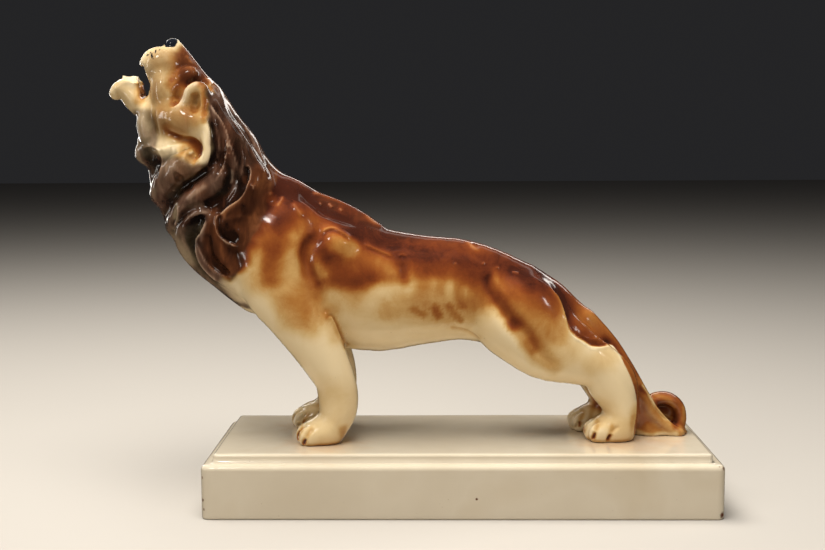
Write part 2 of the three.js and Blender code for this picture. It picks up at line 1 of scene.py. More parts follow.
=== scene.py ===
"""Looks of a porcelain lion figurine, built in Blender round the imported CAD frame.

The lion's surface is one smooth field of melted forms in millimetres, the same forms as the CAD
solid has, with finer carving added. A copy of the CAD mesh is made even and dense, and its points
are moved onto that surface. The sprayed and brushed colours are soft dabs, stored on the points,
and the glaze is made of nodes.
"""
import logging
import math
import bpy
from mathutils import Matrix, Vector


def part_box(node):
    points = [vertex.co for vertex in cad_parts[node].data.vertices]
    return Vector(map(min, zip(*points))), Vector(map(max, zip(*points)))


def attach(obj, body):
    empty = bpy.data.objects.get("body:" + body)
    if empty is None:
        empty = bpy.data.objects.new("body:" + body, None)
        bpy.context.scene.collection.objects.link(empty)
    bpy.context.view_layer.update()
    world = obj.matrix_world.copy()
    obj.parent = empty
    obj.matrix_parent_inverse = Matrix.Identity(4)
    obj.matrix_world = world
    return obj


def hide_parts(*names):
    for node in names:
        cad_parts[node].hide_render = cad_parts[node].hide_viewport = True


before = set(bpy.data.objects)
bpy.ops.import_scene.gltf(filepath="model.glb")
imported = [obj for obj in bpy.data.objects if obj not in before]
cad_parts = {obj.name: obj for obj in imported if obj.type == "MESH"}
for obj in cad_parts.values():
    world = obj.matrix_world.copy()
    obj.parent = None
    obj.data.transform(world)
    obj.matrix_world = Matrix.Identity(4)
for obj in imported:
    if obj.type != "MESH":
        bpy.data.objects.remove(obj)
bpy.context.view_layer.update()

from concurrent.futures import ThreadPoolExecutor
from dataclasses import dataclass, field
from enum import Enum
from typing import Iterable, Sequence

import bmesh
import bpy
import numpy as np
from mathutils import Matrix, Vector, noise

MM = 0.001
PHOTO_WIDTH, PHOTO_HEIGHT = 825, 550

log = logging.getLogger("lion")


# the surface

TINY = 1e-9
FAR = 14.0            # mm, how far from the surface the field is still told apart
SPAN_STEPS = 4        # straight segments between two stations of a chain
STRIDE_TOP = 110.0    # mm, above this height a stride sets nothing forward
SEAT = 41.0           # mm, where the CAD lion ends, just above the plinth
GLAZED_SEAT = 40.72   # mm, where the glaze closes the gap to the plinth
PROBE = 0.12          # mm, the step that the slope is measured with
LEAST_SLOPE = 0.2
CELL = 16.0           # mm, points are worked out cell by cell
CHUNK = 2500          # points worked out at a time
WORKERS = 4           # chunks worked out side by side


def ellipse_gap(along: np.ndarray, across: np.ndarray, r: np.ndarray, w: np.ndarray) -> np.ndarray:
    """Distance to an ellipse of half widths r and w.

    Args:
        along: Distance from the centre along the first half width.
        across: Distance from the centre along the second.
        r: First half width.
        w: Second half width.

    Returns:
        The distance, negative inside.
    """
    a, b = along / r, across / w
    near = np.sqrt(a * a + b * b)
    steep = np.sqrt((a / r) ** 2 + (b / w) ** 2)
    return near * (near - 1) / np.maximum(steep, TINY)


def stride_at(stride: float, z: float) -> float:
    """How far a far-side point is set forward: all of it at the ground, none at STRIDE_TOP."""
    return stride * min(max((STRIDE_TOP - z) / (STRIDE_TOP - SEAT), 0.0), 1.0)


@dataclass(frozen=True)
class Chain:
    """A tube of oval section along a smooth line of stations.

    Each station is (x, y, z, half width seen from the side, half width across).
    """

    name: str
    blend: float
    stations: tuple
    cut: bool = False
    pair: bool = False
    stride: float = 0.0

    def line(self, side: int) -> np.ndarray:
        """Points of the smooth line.

        Args:
            side: 1 for the side as written, -1 for its mirror image.

        Returns:
            One row for each point, with the station's five values.
        """
        stride = 0.0 if side == 1 else self.stride
        full = np.array([[s[0] + stride_at(stride, s[2]), s[1] * side, s[2], s[3], s[4]]
                         for s in self.stations], float)
        before = np.vstack([full[:1], full[:-2]])
        after = np.vstack([full[2:], full[-1:]])
        rows = []
        for a, b, c, d in zip(before, full[:-1], full[1:], after):
            for step in range(SPAN_STEPS):
                t = step / SPAN_STEPS
                bend = 2 * a - 5 * b + 4 * c - d + t * (3 * b - a - 3 * c + d)
                rows.append(b + 0.5 * t * (c - a + t * bend))
        rows.append(full[-1])
        return np.array(rows)


@dataclass(frozen=True)
class Ball:
    """An ellipsoid, tilted about the axis that runs across the lion."""

    name: str
    blend: float
    centre: tuple
    radii: tuple
    tilt: float
    cut: bool = False
    pair: bool = False
    stride: float = 0.0


class Placed:
    """One form on one side of the body, with the box that holds it."""

    def __init__(self, form: Chain | Ball, side: int) -> None:
        """Works out the form's place.

        Args:
            form: The form as written.
            side: 1 for the side as written, -1 for its mirror image.
        """
        self.cut, self.blend = form.cut, form.blend
        if isinstance(form, Ball):
            x, y, z = form.centre
            stride = 0.0 if side == 1 else form.stride
            self.segments = None
            self.centre = np.array([x + stride_at(stride, z), y * side, z])
            self.radii = np.array(form.radii, float)
            angle = math.radians(form.tilt)
            self.cos, self.sin = math.cos(angle), math.sin(angle)
            self.low = self.centre - max(form.radii)
            self.high = self.centre + max(form.radii)
            return
        line = form.line(side)
        self.segments = (line[:-1], np.diff(line, axis=0))
        reach = line[:, 3:].max()
        self.part_low = np.minimum(line[:-1, :3], line[1:, :3]) - reach
        self.part_high = np.maximum(line[:-1, :3], line[1:, :3]) + reach
        self.low, self.high = self.part_low.min(0), self.part_high.max(0)

    def gap(self, p: np.ndarray, within: float) -> np.ndarray:
        """Distance of each point from the form.

        Args:
            p: Points in millimetres, one a row.
            within: Distances beyond this many millimetres needn't be right.

        Returns:
            One distance for each point, negative inside.
        """
        if self.segments is None:
            d = p - self.centre
            q = np.stack([self.cos * d[:, 0] + self.sin * d[:, 2], d[:, 1],
                          self.cos * d[:, 2] - self.sin * d[:, 0]], 1) / self.radii
            near = np.sqrt((q * q).sum(1))
            steep = np.sqrt(((q / self.radii) ** 2).sum(1))
            return near * (near - 1) / np.maximum(steep, TINY)
        near = ((self.part_low - within < p.max(0)) & (self.part_high + within > p.min(0))).all(1)
        if not near.any():
            return np.full(len(p), FAR)
        start, way = self.segments[0][near], self.segments[1][near]
        length2 = (way[:, :3] ** 2).sum(1)
        dx = p[:, 0:1] - start[:, 0]
        dy = p[:, 1:2] - start[:, 1]
        dz = p[:, 2:3] - start[:, 2]
        t = np.clip((dx * way[:, 0] + dy * way[:, 1] + dz * way[:, 2]) / length2, 0, 1)
        ux = dx - t * way[:, 0]
        uz = dz - t * way[:, 2]
        out = ellipse_gap(np.sqrt(ux * ux + uz * uz), dy - t * way[:, 1],
                          start[:, 3] + t * way[:, 3], start[:, 4] + t * way[:, 4])
        return out.min(1)


def melt(a: np.ndarray, b: np.ndarray, width: float) -> np.ndarray:
    """The lesser of two distances, with a smooth turn of the given width between them."""
    overlap = np.maximum(width - np.abs(a - b), 0) / width
    return np.minimum(a, b) - overlap * overlap * width / 4


class Figure:
    """The whole surface: forms melted together in order, cuts taken out."""

    def __init__(self, forms: Iterable[Chain | Ball]) -> None:
        """Places every form, and the mirror image of each that comes in a pair."""
        self.placed = [Placed(f, side) for f in forms for side in ((1, -1) if f.pair else (1,))]

    def _gap(self, p: np.ndarray) -> np.ndarray:
        """Signed distance for one chunk of points that lie close together."""
        gap = np.full(len(p), FAR)
        least, most = p.min(0), p.max(0)
        for form in self.placed:
            margin = form.blend + FAR
            if (form.low - margin > most).any() or (form.high + margin < least).any():
                continue
            off = np.maximum(np.maximum(form.low - p, p - form.high), 0)
            reach = form.blend - gap if form.cut else form.blend + gap
            near = np.nonzero((reach > 0) & ((off * off).sum(1) < reach * reach))[0]
            if not len(near):
                continue
            sign = -1.0 if form.cut else 1.0
            there = form.gap(p[near], reach[near].max())
            gap[near] = sign * melt(sign * gap[near], there, form.blend)
        return np.maximum(gap, GLAZED_SEAT - p[:, 2])

    def gap(self, p: np.ndarray) -> np.ndarray:
        """Signed distance from the surface, negative inside.

        Args:
            p: Points in millimetres, one a row.

        Returns:
            One distance for each point.
        """
        cell = np.floor(p / CELL).astype(int)
        order = np.lexsort((cell[:, 1], cell[:, 2], cell[:, 0]))
        chunks = np.array_split(order, max(1, len(p) // CHUNK))
        out = np.empty(len(p))
        with ThreadPoolExecutor(WORKERS) as pool:
            for chunk, gap in zip(chunks, pool.map(lambda c: self._gap(p[c]), chunks)):
                out[chunk] = gap
        return out

    def slope(self, p: np.ndarray, here: np.ndarray) -> np.ndarray:
        """How the distance grows along x, y and z at each point, which is outwards."""
        steps = [self.gap(p + PROBE * axis) - here for axis in np.eye(3)]
        return np.stack(steps, 1) / PROBE

    def settle(self, p: np.ndarray, turns: int, longest: float) -> np.ndarray:
        """Moves points onto the surface.

        Args:
            p: Points in millimetres.
            turns: How many moves each point makes.
            longest: The longest move in millimetres.

        Returns:
            The moved points.
        """
        p = p.copy()
        here = self.gap(p)
        slope = self.slope(p, here)
        steep = np.maximum((slope ** 2).sum(1), LEAST_SLOPE)
        for turn in range(turns):
            if turn:
                here = self.gap(p)
            p -= slope * np.clip(here / steep, -longest, longest)[:, None]
        return p




# folds pressed into the clay

@dataclass(frozen=True)
class Fold:
    """A fold, crease or ridge along a line of (x, z) points seen from the side.

    Each side is (height, reach): how far the surface is raised next to the line, and how far off
    that fades. Left and right are those of someone who walks along the line.
    """

    name: str
    left: tuple
    right: tuple
    path: tuple
    sharp: float = 0.4
    taper: float = 5.0
    stride: float = 0.0

    def course(self) -> np.ndarray:
        """The smooth line through the path's points, about a millimetre a step."""
        full = np.array(self.path, float)
        if len(full) < 3:
            return full
        before = np.vstack([2 * full[0] - full[1], full[:-2]])
        after = np.vstack([full[2:], 2 * full[-1] - full[-2]])
        rows = []
        for a, b, c, d in zip(before, full[:-1], full[1:], after):
            steps = max(2, int(np.hypot(*(c - b)) / FOLD_STEP))
            for t in np.arange(steps) / steps:
                bend = 2 * a - 5 * b + 4 * c - d + t * (3 * b - a - 3 * c + d)
                rows.append(b + 0.5 * t * (c - a + t * bend))
        rows.append(full[-1])
        return np.array(rows)

    def lift(self, p: np.ndarray) -> tuple:
        """How far points are raised.

        Args:
            p: Points in millimetres.

        Returns:
            The raise of each point in millimetres, and its distance from the line.
        """
        flat = p[:, [0, 2]]
        if self.stride:
            share = np.clip((STRIDE_TOP - p[:, 2]) / (STRIDE_TOP - SEAT), 0, 1)
            flat[:, 0] -= np.where(p[:, 1] > 0, self.stride * share, 0.0)
        raised, gap = np.zeros(len(p)), np.full(len(p), np.inf)
        line = self.course()
        reach = FOLD_ENDS * max(self.left[1], self.right[1])
        near = np.nonzero(((flat > line.min(0) - reach) & (flat < line.max(0) + reach)).all(1))[0]
        if not len(near):
            return raised, gap
        start, way = line[:-1], np.diff(line, axis=0)
        length = np.hypot(*way.T)
        d = flat[near][:, None, :] - start
        t = np.clip((d * way).sum(2) / length ** 2, 0, 1)
        off = np.hypot(*np.moveaxis(d - t[..., None] * way, 2, 0))
        best = off.argmin(1)
        row = np.arange(len(near))
        off, t, d = off[row, best], t[row, best], d[row, best]
        turn = way[best, 0] * d[:, 1] - way[best, 1] * d[:, 0]
        side = 0.5 + 0.5 * np.tanh(np.where(turn > 0, off, -off) / self.sharp)
        along = np.concatenate([[0], np.cumsum(length)])[best] + t * length[best]
        end = np.clip(np.minimum(along, length.sum() - along) / self.taper, 0, 1)
        sides = [h * np.exp(-(off / r) ** 2) for h, r in (self.left, self.right)]
        raised[near] = (side * sides[0] + (1 - side) * sides[1]) * end * end * (3 - 2 * end)
        gap[near] = off
        return raised, gap


FOLD_STEP = 1.5       # mm
FOLD_ENDS = 2.2       # reaches after which a fold is taken to be flat

# the forms, in millimetres

TRUNK = (
    Chain("trunk", 1, (
        (-120, 0, 165, 42, 32), (-95, 0, 156, 41, 33), (-63, 0, 140, 42, 32),
        (-30, 0, 138.5, 37, 29), (0, 0, 138.5, 33.5, 25), (26, 0, 131.5, 30.5, 25),
        (46, 0, 121, 28, 22),
    )),
    Chain("neck", 8, (
        (-126, 0, 170, 40, 31), (-148, 0, 192, 37.5, 30), (-165, 0, 214, 34, 29),
        (-175, 0, 238, 30, 27), (-178, 0, 257, 25, 23),
    )),
    Chain("chest keel", 10, (
        (-148, 0, 160, 20, 18), (-127, 0, 140, 18, 18), (-106, 0, 126, 18, 20),
    )),
    Chain("withers", 4, (
        (-100, 0, 200, 5.5, 8), (-84, 0, 194.5, 5.5, 8), (-68, 0, 186.5, 5.5, 7),
        (-56, 0, 178, 5, 6),
    )),
    Chain("spine trough", 3, (
        (-104, -14, 205, 2.5, 4), (-94, -17, 196.5, 4, 5), (-80, -18, 190.5, 4.5, 5),
        (-66, -16, 186, 3.5, 4),
    ), cut=True, pair=True),
)

HEAD = (
    Chain("face column", 7, (
        (-187, 0, 258, 17, 19), (-187.5, 0, 272, 15, 16), (-190, 0, 284, 14, 13.5),
    )),
    Chain("bridge", 4, (
        (-169, 0, 265, 11, 13), (-178, 0, 281, 9.5, 9.5), (-185, 0, 294, 7, 7.5),
        (-187.5, 0, 300.5, 4.6, 6.5),
    )),
    Ball("upper lip", 4, (-196, -6.5, 287.5), (12.5, 8.5, 11.5), 20, pair=True),
    Chain("lip tip", 3, (
        (-201, 0, 292, 6.5, 7), (-206.6, 0, 288.4, 3.4, 6),
    )),
    Chain("lower jaw", 4, (
        (-203, 0, 258, 9, 15), (-211.5, 0, 265, 9, 13), (-216.5, 0, 270, 8, 11.5),
        (-223, 0, 272.5, 5.2, 10), (-226, 0, 269.5, 4.4, 9),
    )),
    Chain("jaw top", 3, (
        (-212.5, 0, 275, 3.8, 10.5), (-219, 0, 275, 4.6, 9.5),
    )),
    Chain("mouth gap", 2, (
        (-207, 0, 285, 2.4, 40), (-206, 0, 276, 3.2, 40), (-205.6, 0, 268, 2.8, 40),
    ), cut=True),
    Ball("brow", 4, (-176, -11.5, 279), (4.5, 5.5, 7.5), -35, pair=True),
    Ball("eye hollow", 4, (-177, -18, 280), (4, 5, 5.5), -20, cut=True, pair=True),
    Ball("cheek", 6, (-193, -12, 270), (7, 8, 12), 4, pair=True),
    Chain("ear", 3, (
        (-174, -20, 264, 4, 6), (-171, -21, 270, 5, 6), (-166, -21, 270, 5, 6),
        (-164.5, -22, 260, 4.5, 6), (-165, -23, 252, 5, 6),
    ), pair=True),
    Ball("ear hollow", 2.5, (-169.5, -27, 261), (3.6, 5, 8), -8, cut=True, pair=True),
    Chain("face notch", 3, (
        (-179, -20, 275, 3, 4), (-181.5, -21, 268, 3, 5), (-182, -22, 264, 3, 5),
    ), cut=True, pair=True),
)

MANE = (
    Chain("crest", 5, (
        (-166, 0, 263, 11, 13), (-159.5, 0, 254, 11.5, 15), (-149.5, 0, 240, 11.5, 17),
        (-140.5, 0, 225, 11.5, 18), (-129, 0, 210, 11, 18), (-114, 0, 199, 13, 18),
    )),
    Chain("mane side", 6, (
        (-162, -12, 262, 7, 9), (-157, -17, 250, 9, 9), (-149, -19, 236, 11, 10),
        (-141, -20, 221, 12, 10), (-134, -20, 205, 13, 10),
    ), pair=True),
    Chain("throat", 4, (
        (-200, 0, 256, 9, 12), (-201.5, 0, 246, 8.5, 12), (-203.5, 0, 234, 9.5, 12),
        (-199, 0, 222, 7.5, 12), (-195, 0, 207, 9.5, 12), (-190, 0, 192, 8, 12),
        (-184.5, 0, 178, 8, 12), (-174, 0, 162, 8, 12), (-158.5, 0, 147, 8, 12),
        (-140, 0, 131, 6, 11),
    )),
    Ball("throat tip", 3, (-206.5, 0, 230), (7.5, 12, 6.5), 0),
    Ball("beard tip", 3, (-197.5, 0, 202.5), (7.5, 11, 6.5), 20),
    Chain("jaw ruff", 4, (
        (-202, -10, 257, 6.5, 8), (-203.5, -11, 249, 7, 9), (-202, -12, 241, 6.5, 9),
    ), pair=True),
    Chain("cheek ruff", 5, (
        (-189, -17, 254, 8, 8), (-178, -20, 252, 10, 9), (-169, -22, 248, 8.5, 8),
    ), pair=True),
    Chain("hook lock", 4, (
        (-163, -24, 251, 4.6, 6), (-161, -26, 240, 5, 6.5), (-161.5, -27, 230, 5, 6.5),
        (-165, -28, 221, 5, 5.5),
    ), pair=True),
    Chain("throat lock", 4, (
        (-189, -20, 234, 5, 6), (-198, -14, 232, 7, 8), (-205, -7, 230, 7, 9),
    ), pair=True),
    Chain("beard lock", 4, (
        (-172, -26, 225, 8, 6.5), (-182, -23, 219, 9.5, 8), (-190, -17, 211, 9.5, 9.5),
        (-196, -9, 204, 7.5, 9.5),
    ), pair=True),
    Chain("front lock", 4, (
        (-156, -27, 215, 6.5, 5.5), (-167, -26, 206, 7.5, 7), (-177, -22, 197, 7, 8),
        (-184, -15, 189, 6.5, 9), (-189, -7, 182, 5, 8),
    ), pair=True),
    Chain("breast lock", 4, (
        (-167, -26, 191, 6, 6), (-176, -21, 183, 7.5, 8.5), (-179, -16, 172, 7, 9.5),
        (-170, -13, 158, 6.5, 10), (-154, -11, 143.5, 5.5, 9), (-139, -9, 132, 4.5, 8),
    ), pair=True),
    Chain("edge lock", 3, (
        (-164, -27, 189, 4, 5), (-167, -27, 175, 4.4, 5.5), (-165, -26, 162, 4.4, 6),
        (-156.5, -23, 151.5, 4.4, 6), (-145, -19, 142, 4, 5),
    ), pair=True),
    Chain("side lock", 4, (
        (-153, -27, 192, 6, 5), (-158, -28, 180, 7, 5.5), (-156, -28, 168, 7, 5.5),
        (-149, -26, 157, 5.5, 5.5),
    ), pair=True),
    Chain("collar lock", 3.5, (
        (-131, -22, 217, 5, 7), (-133, -26, 209, 5.5, 6.5), (-140, -28, 200, 6.5, 6),
        (-147, -29, 192, 6.5, 6), (-148.5, -29, 182, 6, 5.5), (-144, -29, 175, 5, 5),
    ), pair=True),
    Chain("ruff hollow", 3, (
        (-190, -27, 247, 2.2, 3), (-182, -30, 242, 3.4, 4.5), (-173, -31, 238.5, 4.4, 5.5),
        (-168.5, -31, 233, 4.4, 5.5), (-171, -31, 228, 3.4, 4),
    ), cut=True, pair=True),
    Ball("throat hollow", 3, (-201, -19.5, 229), (4.5, 4.5, 4.5), 0, cut=True, pair=True),
    Chain("beard groove", 3, (
        (-190, -23, 200, 2.2, 3), (-181, -29, 209, 2.6, 4), (-171, -33, 215, 2.4, 4),
        (-160, -34, 221, 2, 3.5),
    ), cut=True, pair=True),
    Chain("mane pit", 3, (
        (-160, -34, 197, 3.2, 6), (-152, -34, 204, 3.6, 5), (-146, -32, 213, 3, 4),
    ), cut=True, pair=True),
    Chain("breast hollow", 3, (
        (-168, -33, 188, 2.4, 4), (-172.5, -32, 180, 2.8, 4.5), (-174, -29, 170, 2.4, 3.5),
    ), cut=True, pair=True),
    Chain("side groove", 2.5, (
        (-162, -34, 176, 2, 2.5), (-160, -33, 164, 2, 3), (-151, -30, 154, 1.8, 2.5),
    ), cut=True, pair=True),
)

LEGS = (
    Chain("foreleg", 7, (
        (-108, -20, 184, 14, 9), (-117, -23, 166, 22, 12), (-118.5, -24, 148, 24.5, 14),
        (-107.5, -24.5, 128, 20.5, 15), (-96.5, -24, 110, 17.5, 15), (-87.5, -23.5, 93, 14.6, 14),
        (-82.3, -23, 82, 13.2, 13), (-80.4, -22.5, 70, 13.1, 12), (-81.2, -22.5, 59, 11.9, 12),
        (-86, -22.5, 48, 9, 11.5),
    ), pair=True, stride=-7),
    Ball("haunch", 7, (41, -15, 122), (28, 15, 27), 0, pair=True),
    Chain("thigh", 7, (
        (36, -14, 118, 24, 14), (56, -16.5, 106, 25, 13.5), (77, -16.5, 96, 18.5, 12.5),
        (91.5, -16, 89, 15, 12), (99.5, -15.5, 79, 16.2, 12), (104.5, -15, 67, 12.8, 12),
        (106, -15, 57, 11, 12), (105, -15, 47, 10.6, 12),
    ), pair=True, stride=-7),
    Ball("shoulder knob", 9, (-81, -23.5, 171), (10, 8, 9), 0, pair=True),
    Chain("shoulder groove", 4, (
        (-91, -32, 179, 2.5, 3), (-97, -34, 169, 3.4, 4), (-98, -36, 158, 3.4, 4),
        (-94, -37, 147, 3.2, 3.6), (-90, -38, 137, 2.6, 3),
    ), cut=True, pair=True),
    Chain("elbow crease", 2, (
        (-84, -36, 126, 1.4, 2.4), (-79, -36, 118, 1.8, 4), (-76, -35, 109, 2, 5),
        (-72, -33, 100, 2.4, 6),
    ), cut=True, pair=True),
    Chain("haunch groove", 6, (
        (17, -29.5, 151, 4, 4), (20, -31, 139, 5, 5), (28, -32.5, 127, 5, 5),
        (38, -33, 116, 4.4, 4.4), (47, -33, 105, 3.6, 3.6), (56, -32, 94, 3, 3),
    ), cut=True, pair=True),
)

TAIL = (
    Chain("tail", 8, (
        (44, 0, 140, 12, 12), (62, 0, 129, 12.2, 12), (81, 0, 112.5, 12.4, 11),
        (95.5, 0, 97, 12, 10), (106.5, 0, 80, 11, 9), (116, 0, 64, 10.5, 8), (123, 0, 51, 10.5, 8),
        (127, 0, 42, 13, 8),
    )),
    Chain("tail edge", 4, (
        (84, -4, 119, 6, 6), (99.5, -5, 102, 5, 5), (111.5, -5.5, 85, 4.5, 4.5),
        (121.5, -6, 68.5, 4.2, 4.2), (130.8, -6, 54.5, 4, 4), (139, -6, 46, 4, 4),
        (146, -6, 42, 4, 4),
    )),
    Chain("tail foot", 3, (
        (127, -1, 41, 9, 9), (138, 0, 39, 8, 8.5), (147, 0, 38, 7, 7.5),
    )),
    Chain("tail curl", 2.5, (
        (145.5, 4, 42, 5.5, 8), (148.5, 4, 50, 4.4, 8), (147, 4, 58.5, 4.2, 8),
        (140.5, 4, 63.6, 4.2, 8), (132, 4, 63, 4.4, 8), (126, 4, 58, 5, 7),
    )),
    Chain("curl web", 3, (
        (131, 7, 52, 7, 4), (141, 7, 54, 7.5, 4),
    )),
)
CARVING = (
    Chain("mouth floor", 2, (
        (-220, 0, 279, 1.5, 3.4), (-216, 0, 278, 3.2, 4.6), (-211, 0, 277, 4.2, 5), (-205, 0, 276, 4.4, 5),
    ), cut=True),
    Chain("tongue", 2, (
        (-218.5, 0, 273.6, 1.4, 2.4), (-214, 0, 273.6, 1.8, 3.2), (-208, 0, 272, 2.2, 3.4),
    )),
    Chain("jaw lip", 1.6, (
        (-224, -5.5, 273.6, 1.8, 2.4), (-218.5, -7.5, 275.8, 2, 2.4), (-213, -8.4, 277.2, 1.9, 2.3),
        (-210, -8.6, 277.9, 1.7, 2.2), (-207.8, -8.6, 276.2, 1.5, 2.2), (-205.2, -8.6, 276.8, 1.6, 2.2),
        (-204.2, -9.4, 272, 1.5, 2.4), (-203.2, -11, 266, 1.4, 2.6),
    ), pair=True),
    Ball("nose pad", 1.6, (-189.2, -2.8, 301.0), (4.2, 3.4, 2.6), 16, pair=True),
    Ball("nostril", 0.9, (-191.8, -3.2, 301.6), (1.2, 1.0, 0.9), 20, cut=True, pair=True),
    Ball("eye fill", 4, (-177.4, -12.6, 280), (4.2, 3.6, 5), -20, pair=True),
    Chain("crest swell", 5, (
        (-142.4, 0, 243.4, 2.6, 5), (-138.4, 0, 236.5, 4.2, 6), (-134.4, 0, 229.6, 2.6, 5))),
    Chain("withers swell", 5, (
        (-113.5, 0, 210.4, 2.4, 5), (-105.7, 0, 205.9, 3.6, 6), (-97.9, 0, 201.4, 2.4, 5))),
    Chain("ruff ridge", 1.8, (
        (-197, -20.6, 232.5, 1.2, 2.4), (-188, -25, 232, 1.8, 3), (-180, -27.4, 233.5, 1.9, 3),
        (-174.5, -27.6, 235.5, 1.3, 2.2),
    ), pair=True),
    Chain("beard hollow", 2.4, (
        (-184, -26.4, 222, 1.4, 2.4), (-179.5, -28.4, 214, 2, 3), (-174, -30, 209, 1.8, 2.6),
    ), cut=True, pair=True),
    Chain("front lock groove", 1.8, (
        (-160, -34, 199, 1.4, 2.4), (-168, -34, 197.5, 1.8, 3), (-176, -31, 193, 1.8, 3),
        (-182.6, -25.6, 186.5, 1.2, 2.4),
    ), cut=True, pair=True),
    Chain("collar hollow", 2.4, (
        (-138, -33, 219, 1.0, 2.2), (-140.6, -34.4, 211, 1.8, 2.8), (-145, -35.4, 204, 2.4, 3),
        (-152, -35.8, 198.6, 2, 2.8), (-158, -35.2, 194, 1.4, 2.2),
    ), cut=True, pair=True),
    Chain("collar inner hollow", 3, (
        (-140, -34.4, 196, 1.4, 2.2), (-146, -35, 189.6, 2.8, 2.6), (-147.6, -34.6, 182, 2.6, 2.4),
        (-144.4, -33.4, 176.6, 1.6, 2),
    ), cut=True, pair=True),
)

# folds pressed into the clay, each along a line seen from the side

